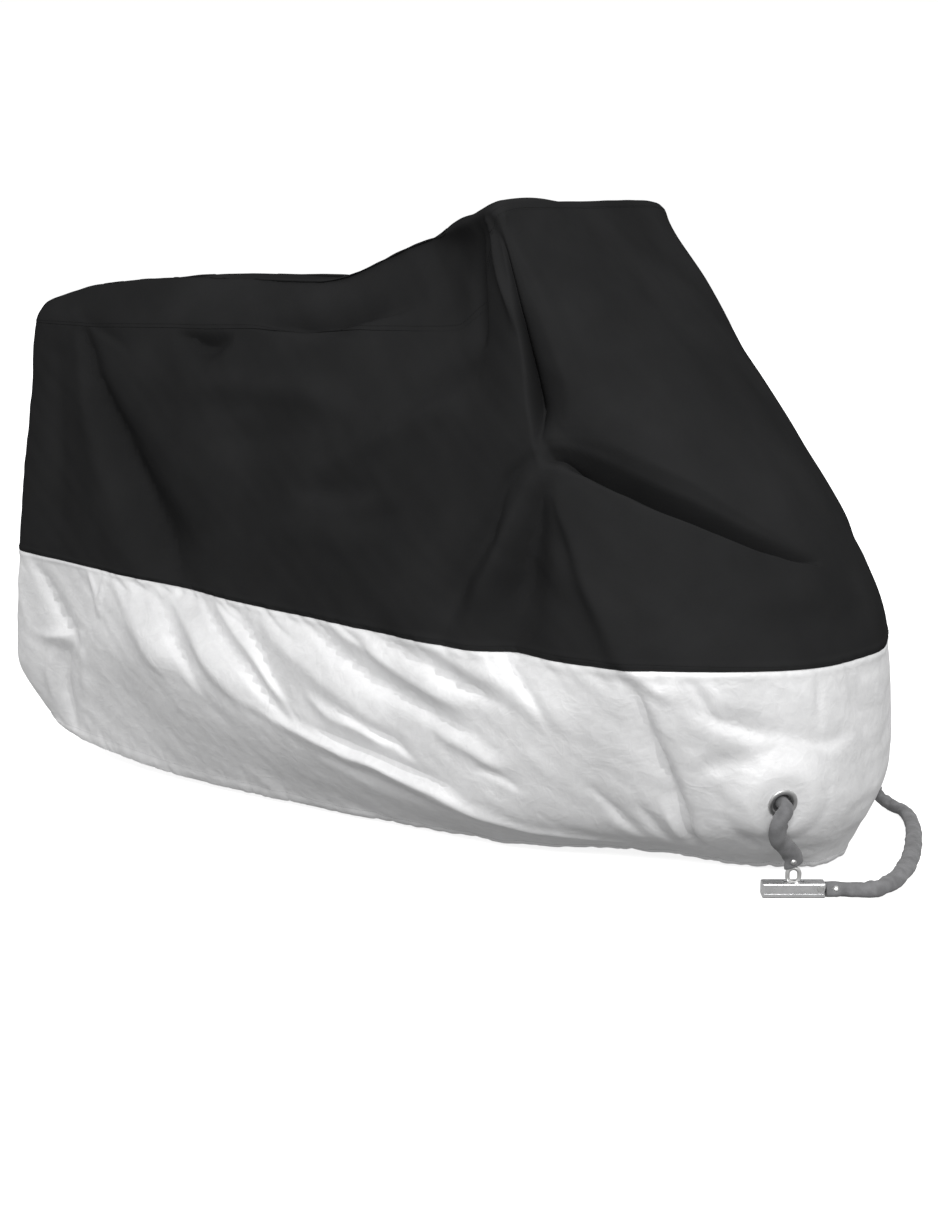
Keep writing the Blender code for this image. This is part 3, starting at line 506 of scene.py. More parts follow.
def on_form(column, row):
    """Point of the form at a column, counted right round from the tail, and a row."""
    column, row = np.broadcast_arrays(np.asarray(column, float), np.asarray(row, float))
    across, down = column * FINE, np.clip(row * FINE, 1e-6, HEM * FINE - 1e-6)
    j, i = np.floor(across).astype(int), np.floor(down).astype(int)
    point = 0.0
    for k, wk in zip((-1, 0, 1, 2), cubic_weights(down - i)):
        line = 0.0
        for m, wm in zip((-1, 0, 1, 2), cubic_weights(across - j)):
            here = np.clip(i + k, 0, HEM * FINE)
            line = line + wm[..., None] * form[here, (j + m) % form.shape[1]]
        point = point + wk[..., None] * line
    return point


def form_normals(column, row):
    """Outward unit normal of the form."""
    down = on_form(column, row + 0.08) - on_form(column, row - 0.08)
    ahead = on_form(np.asarray(column) + 0.08, row) - on_form(np.asarray(column) - 0.08, row)
    return unit(np.cross(down, ahead))


# ---------------------------------------------------------------------------------------------
# Folds of the cloth: a way over the surface as (x, half width, height) on one
# side, the height of the fold along it (a trough is below zero), its half width along it, how
# far it leans (above zero: steep below and long above), and how sharp it is (1: a true crease).

# From the foot peg forward to the fork, the deepest of all, creased along its lower edge
DEEP_FOLD = ((0.495, 0.413, 0.794), (0.564, 0.400, 0.769), (0.645, 0.358, 0.733),
             (0.732, 0.300, 0.685), (0.817, 0.230, 0.632), (0.894, 0.110, 0.583))
DEEP_HEIGHTS = (-0.030, -0.092, -0.106, -0.088, -0.052, 0.0)
DEEP_WIDTHS = (0.022, 0.034, 0.034, 0.028, 0.020, 0.010)
# Down from the right end of the handlebar, behind the front corner
HOLLOW = ((0.376, 0.382, 1.185), (0.388, 0.385, 1.150), (0.404, 0.389, 1.110),
          (0.427, 0.395, 1.050), (0.447, 0.400, 0.985), (0.461, 0.408, 0.890),
          (0.478, 0.412, 0.820))
HOLLOW_HEIGHTS = (0.0, -0.013, -0.022, -0.038, -0.052, -0.060, -0.018)
HOLLOW_WIDTHS = (0.009, 0.014, 0.021, 0.032, 0.042, 0.052, 0.038)
FOLDS = (
    # under the right end of the handlebar: a thin ridge between two long hollows
    (RIGHT, ((0.360, 0.370, 1.195), (0.372, 0.378, 1.140), (0.400, 0.390, 1.065),
             (0.425, 0.400, 1.000)),
     (0.008, 0.013, 0.011, 0.0), (0.007, 0.008, 0.010, 0.012), 0.0, 0.2),
    (RIGHT, ((0.325, 0.338, 1.175), (0.310, 0.335, 1.120), (0.305, 0.338, 1.065),
             (0.310, 0.345, 1.010), (0.330, 0.360, 0.960)),
     (-0.006, -0.022, -0.032, -0.022, 0.0), (0.010, 0.017, 0.024, 0.028, 0.030), -0.20, 0.2),
    # the front corner's edge, which stands out ahead of the second hollow
    (RIGHT, ((0.390, 0.374, 1.185), (0.420, 0.371, 1.133), (0.465, 0.373, 1.042),
             (0.505, 0.385, 0.941), (0.532, 0.390, 0.880)),
     (0.0, 0.005, 0.009, 0.009, 0.003), (0.010, 0.015, 0.021, 0.025, 0.024), 0.20, 0.1),
    # the slack above the deep fold
    (RIGHT, ((0.520, 0.405, 0.830), (0.580, 0.385, 0.800), (0.640, 0.352, 0.758),
             (0.728, 0.292, 0.706)),
     (-0.006, -0.014, -0.012, 0.0), (0.020, 0.030, 0.030, 0.024), 0.0, 0.0),
    (RIGHT, ((0.470, 0.410, 0.990), (0.560, 0.395, 0.900), (0.665, 0.345, 0.850),
             (0.800, 0.250, 0.760)),
     (0.0, 0.007, 0.010, 0.0), (0.030, 0.034, 0.038, 0.034), 0.0, 0.0),
    # fanning out below the foot peg: a light ridge between a dark pull and a dark wedge
    (RIGHT, ((0.455, 0.411, 0.785), (0.411, 0.403, 0.749), (0.363, 0.400, 0.645),
             (0.305, 0.400, 0.536), (0.273, 0.401, 0.450)),
     (-0.004, -0.013, -0.019, -0.018, -0.010), (0.012, 0.018, 0.026, 0.032, 0.036), 0.0, 0.2),
    (RIGHT, ((0.473, 0.413, 0.769), (0.444, 0.410, 0.722), (0.397, 0.406, 0.628),
             (0.344, 0.405, 0.516), (0.316, 0.406, 0.440)),
     (0.004, 0.012, 0.017, 0.014, 0.006), (0.012, 0.018, 0.024, 0.032, 0.038), 0.0, 0.2),
    (RIGHT, ((0.482, 0.415, 0.734), (0.456, 0.412, 0.648), (0.434, 0.411, 0.557),
             (0.412, 0.410, 0.450)),
     (-0.006, -0.030, -0.046, -0.030), (0.013, 0.030, 0.048, 0.060), 0.25, 0.1),
    (RIGHT, ((0.512, 0.417, 0.720), (0.560, 0.419, 0.605), (0.598, 0.418, 0.526),
             (0.628, 0.416, 0.450)),
     (0.004, 0.016, 0.020, 0.014), (0.014, 0.024, 0.032, 0.036), 0.35, 0.2),
    (RIGHT, ((0.536, 0.414, 0.730), (0.621, 0.397, 0.616), (0.698, 0.387, 0.495)),
     (0.004, 0.011, 0.004), (0.024, 0.036, 0.044), 0.0, 0.0),
    # down the side from the tail: one long pull with a light ridge behind it
    (RIGHT, ((-0.722, 0.153, 0.952), (-0.684, 0.172, 0.835), (-0.625, 0.192, 0.730),
             (-0.572, 0.210, 0.646), (-0.500, 0.230, 0.543), (-0.425, 0.254, 0.455)),
     (-0.010, -0.030, -0.047, -0.060, -0.056, -0.026), (0.016, 0.028, 0.042, 0.054, 0.064, 0.072),
     0.25, 0.1),
    (RIGHT, ((-0.742, 0.152, 0.947), (-0.716, 0.164, 0.863), (-0.682, 0.182, 0.736),
             (-0.628, 0.203, 0.578), (-0.600, 0.210, 0.480)),
     (0.002, 0.007, 0.010, 0.011, 0.004), (0.022, 0.034, 0.044, 0.052, 0.058), 0.0, 0.0),
    (RIGHT, ((-0.798, 0.146, 0.900), (-0.800, 0.158, 0.720), (-0.793, 0.174, 0.520)),
     (-0.002, -0.008, -0.003), (0.024, 0.032, 0.034), 0.0, 0.0),
    (RIGHT, ((-0.743, 0.132, 0.992), (-0.670, 0.156, 0.960), (-0.568, 0.177, 0.907)),
     (-0.002, -0.006, 0.0), (0.012, 0.016, 0.018), 0.3, 0.1),
    # below the seat and the tank
    (RIGHT, ((-0.475, 0.173, 0.956), (-0.390, 0.185, 0.942), (-0.315, 0.187, 0.956)),
     (0.0, -0.034, 0.0), (0.014, 0.030, 0.015), -0.2, 0.2),
    (RIGHT, ((-0.265, 0.178, 0.982), (-0.170, 0.182, 0.988), (-0.070, 0.192, 0.998),
             (0.040, 0.206, 1.022), (0.150, 0.235, 1.060)),
     (-0.006, -0.046, -0.050, -0.024, 0.0), (0.014, 0.025, 0.030, 0.028, 0.024), 0.50, 0.4),
    (RIGHT, ((-0.160, 0.182, 0.965), (-0.080, 0.190, 0.962), (0.010, 0.205, 0.968)),
     (0.0, -0.010, 0.0), (0.008, 0.012, 0.010), 0.0, 0.3),
    (RIGHT, ((-0.480, 0.195, 0.850), (-0.250, 0.230, 0.862), (-0.035, 0.270, 0.850),
             (0.060, 0.290, 0.820)),
     (0.0, 0.012, 0.013, 0.0), (0.026, 0.034, 0.034, 0.026), 0.0, 0.0),
    (RIGHT, ((-0.400, 0.233, 0.735), (-0.231, 0.258, 0.765), (-0.070, 0.282, 0.790)),
     (0.0, -0.008, 0.0), (0.030, 0.034, 0.028), 0.0, 0.0),
    (RIGHT, ((-0.060, 0.300, 0.720), (0.097, 0.319, 0.790), (0.228, 0.335, 0.852),
             (0.300, 0.345, 0.890)),
     (0.0, 0.010, 0.013, 0.0), (0.018, 0.026, 0.030, 0.024), -0.2, 0.0),
    (RIGHT, ((-0.120, 0.299, 0.680), (0.001, 0.321, 0.682), (0.110, 0.340, 0.708)),
     (0.0, -0.013, 0.0), (0.018, 0.026, 0.020), 0.2, 0.0),
    (RIGHT, ((0.040, 0.340, 0.628), (0.110, 0.350, 0.640), (0.175, 0.360, 0.668)),
     (0.0, -0.007, 0.0), (0.018, 0.028, 0.022), 0.0, 0.0),
    (RIGHT, ((0.130, 0.306, 0.855), (0.220, 0.319, 0.893), (0.317, 0.351, 0.924)),
     (0.0, -0.007, -0.003), (0.016, 0.024, 0.022), 0.3, 0.0),
    (RIGHT, ((-0.180, 0.290, 0.600), (-0.040, 0.320, 0.600), (0.120, 0.355, 0.590)),
     (0.0, 0.004, 0.0), (0.022, 0.032, 0.026), 0.0, 0.0),
    # the low front, above the band
    (RIGHT, ((0.760, 0.330, 0.545), (0.861, 0.234, 0.540), (0.925, 0.128, 0.535)),
     (0.0, 0.010, 0.0), (0.030, 0.034, 0.030), 0.0, 0.0),
    (RIGHT, ((0.937, 0.160, 0.480), (0.955, 0.060, 0.500), (0.960, 0.000, 0.500)),
     (0.0, -0.004, -0.002), (0.018, 0.026, 0.026), 0.0, 0.0),
    # left side: the same pulls, each its own
    (LEFT, ((0.352, 0.370, 1.200), (0.370, 0.385, 1.110), (0.396, 0.394, 1.000)),
     (0.004, 0.011, 0.0), (0.012, 0.018, 0.024), 0.0, 0.4),
    (LEFT, ((0.384, 0.384, 1.185), (0.440, 0.392, 1.040), (0.500, 0.400, 0.880)),
     (-0.003, -0.014, -0.006), (0.015, 0.028, 0.040), -0.2, 0.2),
    (LEFT, ((0.305, 0.322, 1.170), (0.292, 0.330, 1.080), (0.270, 0.338, 0.960)),
     (0.0, -0.023, 0.0), (0.018, 0.030, 0.046), 0.0, 0.0),
    (LEFT, ((0.520, 0.412, 0.775), (0.640, 0.350, 0.735), (0.770, 0.280, 0.680),
            (0.890, 0.120, 0.590)),
     (0.0, -0.030, -0.026, 0.0), (0.022, 0.042, 0.040, 0.026), -0.6, 0.5),
    (LEFT, ((0.515, 0.417, 0.790), (0.470, 0.412, 0.670), (0.420, 0.408, 0.540)),
     (0.003, 0.013, 0.004), (0.018, 0.036, 0.050), 0.3, 0.2),
    (LEFT, ((0.530, 0.417, 0.760), (0.585, 0.417, 0.620), (0.630, 0.414, 0.470)),
     (0.003, 0.012, 0.005), (0.018, 0.034, 0.046), -0.3, 0.3),
    (LEFT, ((-0.700, 0.150, 0.975), (-0.620, 0.190, 0.820), (-0.540, 0.220, 0.650),
            (-0.480, 0.240, 0.460)),
     (-0.004, -0.029, -0.033, -0.012), (0.020, 0.036, 0.048, 0.058), 0.25, 0.2),
    (LEFT, ((-0.320, 0.190, 0.940), (-0.210, 0.196, 0.945), (-0.100, 0.200, 0.970)),
     (0.0, -0.012, 0.0), (0.014, 0.024, 0.014), 0.3, 0.3),
    (LEFT, ((0.310, 0.335, 1.000), (0.210, 0.344, 0.830), (0.090, 0.345, 0.610)),
     (0.0, 0.009, 0.0), (0.030, 0.046, 0.058), 0.0, 0.0),
    (LEFT, ((0.060, 0.300, 0.900), (-0.060, 0.310, 0.720), (-0.200, 0.300, 0.540)),
     (0.0, -0.009, -0.003), (0.032, 0.046, 0.056), 0.0, 0.0),
    # the tail and the front, hanging down
    (RIGHT, ((-0.945, 0.030, 0.930), (-0.965, 0.035, 0.800), (-0.982, 0.030, 0.620)),
     (0.0, -0.008, -0.003), (0.020, 0.030, 0.036), 0.0, 0.0),
    (LEFT, ((-0.930, 0.060, 0.940), (-0.950, 0.070, 0.780), (-0.965, 0.075, 0.560)),
     (0.0, 0.008, 0.003), (0.020, 0.030, 0.036), 0.0, 0.0),
    (LEFT, ((0.395, 0.360, 1.190), (0.470, 0.320, 1.080), (0.600, 0.290, 0.920)),
     (0.0, 0.014, 0.0), (0.040, 0.065, 0.055), 0.0, 0.0),
    # along the top edge, from the tank up to the right bar end and across the front
    (RIGHT, ((0.140, 0.185, 1.160), (0.230, 0.250, 1.176), (0.320, 0.335, 1.200),
             (0.368, 0.365, 1.214), (0.380, 0.280, 1.228), (0.386, 0.150, 1.231)),
     (0.0, 0.014, 0.018, 0.012, 0.009, 0.0), (0.016, 0.022, 0.024, 0.024, 0.022, 0.020), 0.0, 0.5),
    (RIGHT, ((0.440, 0.060, 1.160), (0.600, 0.050, 0.990), (0.740, 0.030, 0.840)),
     (0.0, -0.008, 0.0), (0.034, 0.050, 0.050), 0.0, 0.0),
    (RIGHT, ((0.415, 0.300, 1.175), (0.425, 0.220, 1.180), (0.432, 0.130, 1.180)),
     (0.0, -0.007, 0.0), (0.014, 0.022, 0.018), 0.0, 0.1),
    (RIGHT, ((0.520, 0.290, 1.035), (0.565, 0.220, 1.020), (0.610, 0.140, 0.985)),
     (0.0, -0.004, 0.0), (0.010, 0.014, 0.012), 0.3, 0.3),
    (RIGHT, ((-0.975, 0.020, 0.760), (-0.976, 0.060, 0.725), (-0.965, 0.110, 0.690)),
     (0.008, 0.009, 0.0), (0.024, 0.028, 0.024), 0.0, 0.3),
    (RIGHT, ((-0.965, 0.000, 0.190), (-0.955, 0.060, 0.180), (-0.920, 0.120, 0.150)),
     (0.016, 0.018, 0.0), (0.040, 0.046, 0.040), 0.0, 0.0),
    # rear corner of the skirt
    (RIGHT, ((-0.880, 0.165, 0.452), (-0.849, 0.176, 0.420), (-0.810, 0.198, 0.365),
             (-0.775, 0.216, 0.315), (-0.748, 0.230, 0.285)),
     (-0.004, -0.011, -0.014, -0.012, -0.003), (0.016, 0.021, 0.024, 0.020, 0.014), 0.2, 0.2),
    (RIGHT, ((-0.905, 0.160, 0.300), (-0.850, 0.196, 0.288), (-0.790, 0.222, 0.292),
             (-0.752, 0.232, 0.298)),
     (0.0, 0.005, 0.013, 0.0), (0.014, 0.017, 0.016, 0.010), -0.2, 0.3),
    (RIGHT, ((-0.760, 0.230, 0.280), (-0.785, 0.220, 0.250), (-0.800, 0.205, 0.170),
             (-0.795, 0.180, 0.080)),
     (0.0, -0.018, -0.016, -0.004), (0.012, 0.017, 0.016, 0.014), 0.0, 0.3),
    (RIGHT, ((-0.812, 0.205, 0.270), (-0.845, 0.180, 0.200), (-0.842, 0.165, 0.120)),
     (0.0, 0.010, 0.0), (0.008, 0.012, 0.012), 0.0, 0.5),
    (RIGHT, ((-0.735, 0.236, 0.300), (-0.742, 0.225, 0.210), (-0.755, 0.205, 0.130)),
     (0.004, 0.010, 0.0), (0.010, 0.013, 0.014), 0.0, 0.5),
    (RIGHT, ((-0.930, 0.140, 0.430), (-0.925, 0.155, 0.360), (-0.905, 0.170, 0.310)),
     (0.0, 0.004, 0.002), (0.012, 0.016, 0.014), 0.0, 0.3),
    (LEFT, ((-0.870, 0.170, 0.450), (-0.820, 0.198, 0.370), (-0.780, 0.218, 0.280)),
     (0.0, -0.013, -0.004), (0.012, 0.020, 0.014), -0.3, 0.5),
    (LEFT, ((-0.780, 0.218, 0.270), (-0.800, 0.200, 0.180), (-0.790, 0.180, 0.090)),
     (0.0, -0.012, 0.0), (0.010, 0.014, 0.014), 0.0, 0.5),
    # the small gather near the rear
    (RIGHT, ((-0.690, 0.205, 0.445), (-0.668, 0.214, 0.400), (-0.655, 0.222, 0.350)),
     (0.004, 0.008, 0.0), (0.006, 0.009, 0.010), 0.0, 0.6),
    (RIGHT, ((-0.640, 0.215, 0.440), (-0.650, 0.220, 0.400), (-0.656, 0.224, 0.345)),
     (0.004, 0.008, 0.0), (0.006, 0.008, 0.009), 0.0, 0.6),
    # slanting down the skirt from the band: light tongues with dark hollows between them
    (RIGHT, ((-0.610, 0.220, 0.440), (-0.560, 0.240, 0.390), (-0.480, 0.275, 0.320),
             (-0.410, 0.300, 0.262)),
     (0.004, 0.010, 0.014, 0.0), (0.022, 0.032, 0.034, 0.022), 0.3, 0.1),
    (RIGHT, ((-0.520, 0.232, 0.436), (-0.455, 0.262, 0.385), (-0.385, 0.295, 0.318),
             (-0.320, 0.320, 0.248)),
     (-0.004, -0.013, -0.013, 0.0), (0.012, 0.020, 0.024, 0.016), 0.45, 0.5),
    (RIGHT, ((-0.460, 0.246, 0.432), (-0.380, 0.280, 0.375), (-0.290, 0.318, 0.305),
             (-0.200, 0.340, 0.245)),
     (0.004, 0.012, 0.015, 0.004), (0.016, 0.026, 0.030, 0.020), 0.35, 0.2),
    (RIGHT, ((-0.373, 0.266, 0.430), (-0.290, 0.300, 0.372), (-0.190, 0.330, 0.298),
             (-0.096, 0.348, 0.232)),
     (-0.004, -0.012, -0.014, -0.006), (0.010, 0.017, 0.019, 0.014), 0.50, 0.6),
    (RIGHT, ((-0.320, 0.278, 0.430), (-0.235, 0.312, 0.370), (-0.150, 0.335, 0.305),
             (-0.075, 0.350, 0.245)),
     (0.004, 0.008, 0.009, 0.003), (0.010, 0.013, 0.014, 0.012), 0.0, 0.4),
    (RIGHT, ((-0.273, 0.287, 0.431), (-0.195, 0.315, 0.368), (-0.125, 0.340, 0.295),
             (-0.070, 0.351, 0.232)),
     (-0.003, -0.009, -0.011, -0.004), (0.008, 0.013, 0.015, 0.012), 0.40, 0.5),
    (RIGHT, ((-0.200, 0.305, 0.430), (-0.110, 0.335, 0.372), (0.000, 0.356, 0.318),
             (0.120, 0.378, 0.262)),
     (0.003, 0.013, 0.014, 0.006), (0.020, 0.030, 0.034, 0.030), 0.2, 0.1),
    (RIGHT, ((-0.100, 0.328, 0.430), (0.000, 0.352, 0.388), (0.120, 0.375, 0.330),
             (0.250, 0.392, 0.290), (0.370, 0.404, 0.262)),
     (-0.003, -0.014, -0.016, -0.013, 0.0), (0.014, 0.022, 0.027, 0.028, 0.020), 0.40, 0.4),
    (RIGHT, ((-0.010, 0.347, 0.430), (0.100, 0.372, 0.395), (0.230, 0.392, 0.345),
             (0.350, 0.404, 0.312)),
     (0.003, 0.010, 0.012, 0.0), (0.014, 0.020, 0.024, 0.020), 0.2, 0.3),
    (RIGHT, ((0.110, 0.374, 0.430), (0.200, 0.390, 0.395), (0.300, 0.402, 0.362),
             (0.430, 0.410, 0.322)),
     (-0.003, -0.012, -0.012, 0.0), (0.012, 0.018, 0.022, 0.022), 0.35, 0.4),
    (RIGHT, ((0.220, 0.394, 0.430), (0.330, 0.406, 0.390), (0.450, 0.412, 0.345),
             (0.560, 0.410, 0.290)),
     (0.002, 0.009, 0.010, 0.0), (0.014, 0.022, 0.030, 0.030), 0.0, 0.1),
    (RIGHT, ((0.380, 0.412, 0.430), (0.430, 0.414, 0.385), (0.480, 0.412, 0.330),
             (0.500, 0.405, 0.280)),
     (0.0, -0.007, -0.008, 0.0), (0.009, 0.013, 0.015, 0.012), 0.2, 0.5),
    (RIGHT, ((-0.060, 0.354, 0.290), (0.020, 0.368, 0.250), (0.095, 0.378, 0.232),
             (0.150, 0.384, 0.205)),
     (0.0, 0.009, 0.010, 0.0), (0.010, 0.015, 0.016, 0.012), 0.0, 0.4),
    (RIGHT, ((0.020, 0.362, 0.270), (0.100, 0.376, 0.240), (0.160, 0.384, 0.222),
             (0.215, 0.388, 0.190)),
     (0.0, -0.008, -0.010, 0.0), (0.008, 0.011, 0.012, 0.010), 0.4, 0.5),
    (RIGHT, ((0.240, 0.394, 0.270), (0.330, 0.400, 0.235), (0.385, 0.400, 0.205),
             (0.420, 0.394, 0.175)),
     (0.0, 0.010, 0.012, 0.0), (0.014, 0.020, 0.020, 0.014), 0.2, 0.3),
    (RIGHT, ((0.330, 0.398, 0.200), (0.390, 0.396, 0.190), (0.440, 0.386, 0.160)),
     (0.0, -0.010, 0.0), (0.010, 0.014, 0.012), 0.3, 0.5),
    # along the turn, where the skirt bends under: one bright ridge over a flat underside
    (RIGHT, ((-0.210, 0.330, 0.262), (-0.121, 0.347, 0.226), (0.003, 0.362, 0.193),
             (0.168, 0.377, 0.160), (0.328, 0.354, 0.118), (0.469, 0.305, 0.086),
             (0.607, 0.245, 0.060)),
     (0.0, 0.008, 0.012, 0.014, 0.011, 0.008, 0.0),
     (0.012, 0.013, 0.014, 0.015, 0.017, 0.018, 0.016), -0.35, 0.6),
    (RIGHT, ((-0.060, 0.354, 0.232), (0.080, 0.370, 0.196), (0.180, 0.376, 0.178),
             (0.300, 0.368, 0.150)),
     (0.0, -0.009, -0.010, 0.0), (0.008, 0.011, 0.012, 0.010), 0.3, 0.6),
    (RIGHT, ((-0.040, 0.340, 0.180), (0.150, 0.352, 0.130), (0.340, 0.325, 0.090)),
     (0.0, -0.009, 0.0), (0.014, 0.022, 0.020), 0.0, 0.2),
    # beside the front wheel: a deep V under the band, and the lighter swell ahead of it
    (RIGHT, ((0.644, 0.409, 0.412), (0.665, 0.404, 0.375), (0.682, 0.394, 0.320),
             (0.698, 0.378, 0.262), (0.716, 0.330, 0.180), (0.728, 0.270, 0.105),
             (0.748, 0.220, 0.060)),
     (0.0, -0.014, -0.020, -0.024, -0.021, -0.016, -0.004),
     (0.010, 0.018, 0.024, 0.025, 0.023, 0.018, 0.014), -0.45, 0.6),
    (RIGHT, ((0.642, 0.411, 0.430), (0.704, 0.395, 0.389), (0.768, 0.372, 0.364),
             (0.832, 0.341, 0.343)),
     (0.003, 0.009, 0.009, 0.0), (0.012, 0.022, 0.026, 0.024), 0.35, 0.4),
    (RIGHT, ((0.700, 0.396, 0.391), (0.780, 0.366, 0.356), (0.850, 0.328, 0.322),
             (0.900, 0.284, 0.296)),
     (0.0, -0.011, -0.011, 0.0), (0.014, 0.022, 0.024, 0.020), 0.3, 0.3),
    (RIGHT, ((0.742, 0.350, 0.235), (0.790, 0.335, 0.255), (0.850, 0.315, 0.275)),
     (0.0, -0.008, 0.0), (0.014, 0.022, 0.020), 0.0, 0.1),
    (RIGHT, ((0.870, 0.320, 0.330), (0.920, 0.265, 0.300), (0.954, 0.202, 0.280),
             (0.975, 0.120, 0.290)),
     (0.0, -0.009, -0.008, 0.0), (0.018, 0.026, 0.024, 0.020), 0.3, 0.2),
    (RIGHT, ((0.750, 0.386, 0.418), (0.775, 0.376, 0.370), (0.800, 0.360, 0.325)),
     (0.0, -0.006, 0.0), (0.007, 0.010, 0.009), 0.3, 0.6),
    (RIGHT, ((0.930, 0.214, 0.410), (0.938, 0.214, 0.360), (0.946, 0.211, 0.300)),
     (-0.002, -0.007, 0.0), (0.010, 0.013, 0.014), 0.0, 0.4),
    (RIGHT, ((0.958, 0.140, 0.412), (0.972, 0.110, 0.340), (0.984, 0.055, 0.260)),
     (0.0, -0.007, 0.0), (0.012, 0.017, 0.018), 0.0, 0.2),
    (RIGHT, ((0.690, 0.345, 0.170), (0.700, 0.310, 0.120), (0.712, 0.265, 0.075)),
     (0.0, 0.011, 0.0), (0.008, 0.011, 0.010), 0.0, 0.6),
    (RIGHT, ((0.640, 0.360, 0.180), (0.665, 0.320, 0.115), (0.690, 0.250, 0.060)),
     (0.0, -0.010, 0.0), (0.010, 0.014, 0.012), 0.3, 0.5),
    (RIGHT, ((0.560, 0.370, 0.200), (0.600, 0.340, 0.140), (0.640, 0.290, 0.090)),
     (0.0, -0.009, 0.0), (0.010, 0.014, 0.012), 0.3, 0.5),
    (RIGHT, ((0.820, 0.300, 0.125), (0.835, 0.260, 0.080), (0.840, 0.200, 0.040)),
     (0.0, -0.011, 0.0), (0.014, 0.018, 0.016), 0.0, 0.3),
    # left side of the skirt
    (LEFT, ((-0.540, 0.235, 0.436), (-0.430, 0.275, 0.370), (-0.300, 0.318, 0.290)),
     (0.003, 0.012, 0.0), (0.016, 0.028, 0.028), -0.3, 0.2),
    (LEFT, ((-0.440, 0.252, 0.432), (-0.340, 0.290, 0.355), (-0.200, 0.335, 0.262)),
     (-0.003, -0.012, -0.004), (0.012, 0.022, 0.020), -0.4, 0.4),
    (LEFT, ((-0.280, 0.288, 0.430), (-0.180, 0.320, 0.360), (-0.040, 0.355, 0.270)),
     (0.003, 0.012, 0.004), (0.014, 0.024, 0.024), -0.3, 0.2),
    (LEFT, ((-0.120, 0.325, 0.430), (0.040, 0.360, 0.350), (0.230, 0.390, 0.255)),
     (-0.003, -0.013, -0.004), (0.014, 0.024, 0.026), -0.4, 0.4),
    (LEFT, ((0.160, 0.384, 0.430), (0.300, 0.402, 0.375), (0.460, 0.411, 0.325)),
     (0.002, 0.011, 0.0), (0.014, 0.024, 0.028), -0.3, 0.2),
    (LEFT, ((-0.060, 0.355, 0.225), (0.120, 0.375, 0.180), (0.300, 0.362, 0.132),
            (0.450, 0.310, 0.090)),
     (0.0, 0.012, 0.012, 0.0), (0.012, 0.015, 0.017, 0.016), 0.35, 0.5),
    (LEFT, ((0.650, 0.411, 0.400), (0.690, 0.380, 0.290), (0.730, 0.330, 0.180),
            (0.740, 0.250, 0.085)),
     (0.0, -0.017, -0.017, -0.004), (0.012, 0.022, 0.022, 0.016), 0.4, 0.5),
    (LEFT, ((0.680, 0.404, 0.405), (0.770, 0.370, 0.355), (0.860, 0.320, 0.310)),
     (0.0, 0.012, 0.0), (0.014, 0.024, 0.024), -0.3, 0.3),
    (LEFT, ((0.930, 0.214, 0.410), (0.945, 0.205, 0.340), (0.950, 0.200, 0.270)),
     (0.0, -0.008, 0.0), (0.012, 0.016, 0.014), 0.0, 0.3),
)


FOLD_STEP, FOLD_REACH = 0.006, 2.6      # points this far apart; its reach in half widths
FULL_PUSH, PUSH_FADE = 0.030, 0.040     # off its line a fold pushes fully this far, then fades
LIP_SHARE, LIP_WIDE, LIP_SINK = 0.65, 0.62, 0.24        # the steep part of a true crease
WANDER, WANDER_SIZE = 0.0045, 0.085     # how far the folds wander, and over what distance


def fold_line(marks, heights, widths, lean, sharp):
    """A fold made ready: points along it with their directions, height and half width."""
    way, at = curve_through(marks, FOLD_STEP)
    high, wide = (smooth_through(np.linspace(0, 1, len(given)), np.array(given)[:, None],
                                 at / at[-1])[:, 0] for given in (heights, widths))
    return {"way": way, "at": at, "ahead": unit(np.gradient(way, axis=0)), "high": high,
            "wide": wide, "lean": lean, "sharp": sharp}


def fold_push(points, warped, normals, folds):
    """How each point moves with the folds.

    A true crease keeps its line while the others wander, has a straight wall on its long side,
    and sinks behind its steep lip.
    """
    push = np.zeros_like(points)
    for fold in folds:
        way, wide = fold["way"], fold["wide"]
        at = points if fold["sharp"] == 1.0 else warped
        reach = FOLD_REACH * wide.max() * (1 + abs(fold["lean"]))
        inside = ((at > way.min(axis=0) - reach) & (at < way.max(axis=0) + reach)).all(axis=1)
        for some in np.array_split(np.flatnonzero(inside), max(1, inside.sum() // 6000)):
            if not len(some):
                continue
            k = (((at[some][:, None] - way[None]) ** 2).sum(axis=2)).argmin(axis=1)
            off = at[some] - way[k]
            along = (off * fold["ahead"][k]).sum(axis=1)
            across = unit(np.cross(normals[some], fold["ahead"][k]))
            aside = (off * across).sum(axis=1)
            over = (off * normals[some]).sum(axis=1)
            past = np.where(k == 0, np.maximum(-along, 0), 0)
            past = np.where(k == len(way) - 1, np.maximum(along, 0), past)
            half = wide[k] * (1 + fold["lean"] * np.tanh(aside / (0.35 * wide[k])))
            off = np.hypot(aside, past) / half
            bell = np.exp(-off**2)
            peak = np.exp(-1.7 * (np.sqrt(off**2 + 0.03) - 0.173))
            sink = 0.0
            if fold["sharp"] == 1.0:
                peak = (LIP_SHARE * np.clip(1 - off / LIP_WIDE, 0, 1)
                        + (1 - LIP_SHARE) * np.clip(1 - off, 0, 1))
                sink = LIP_SINK
            high = np.interp(fold["at"][k] + along, fold["at"], fold["high"])
            fade = 1 - eased((np.abs(over) - FULL_PUSH) / PUSH_FADE)
            moved = fade * high * (bell + fold["sharp"] * (peak - bell))
            push[some] += moved[:, None] * (normals[some] + sink * across)
    return push


CREASES_FROM, CREASE_MARKS = 36, 25     # both creases lie ahead of this column; points on each


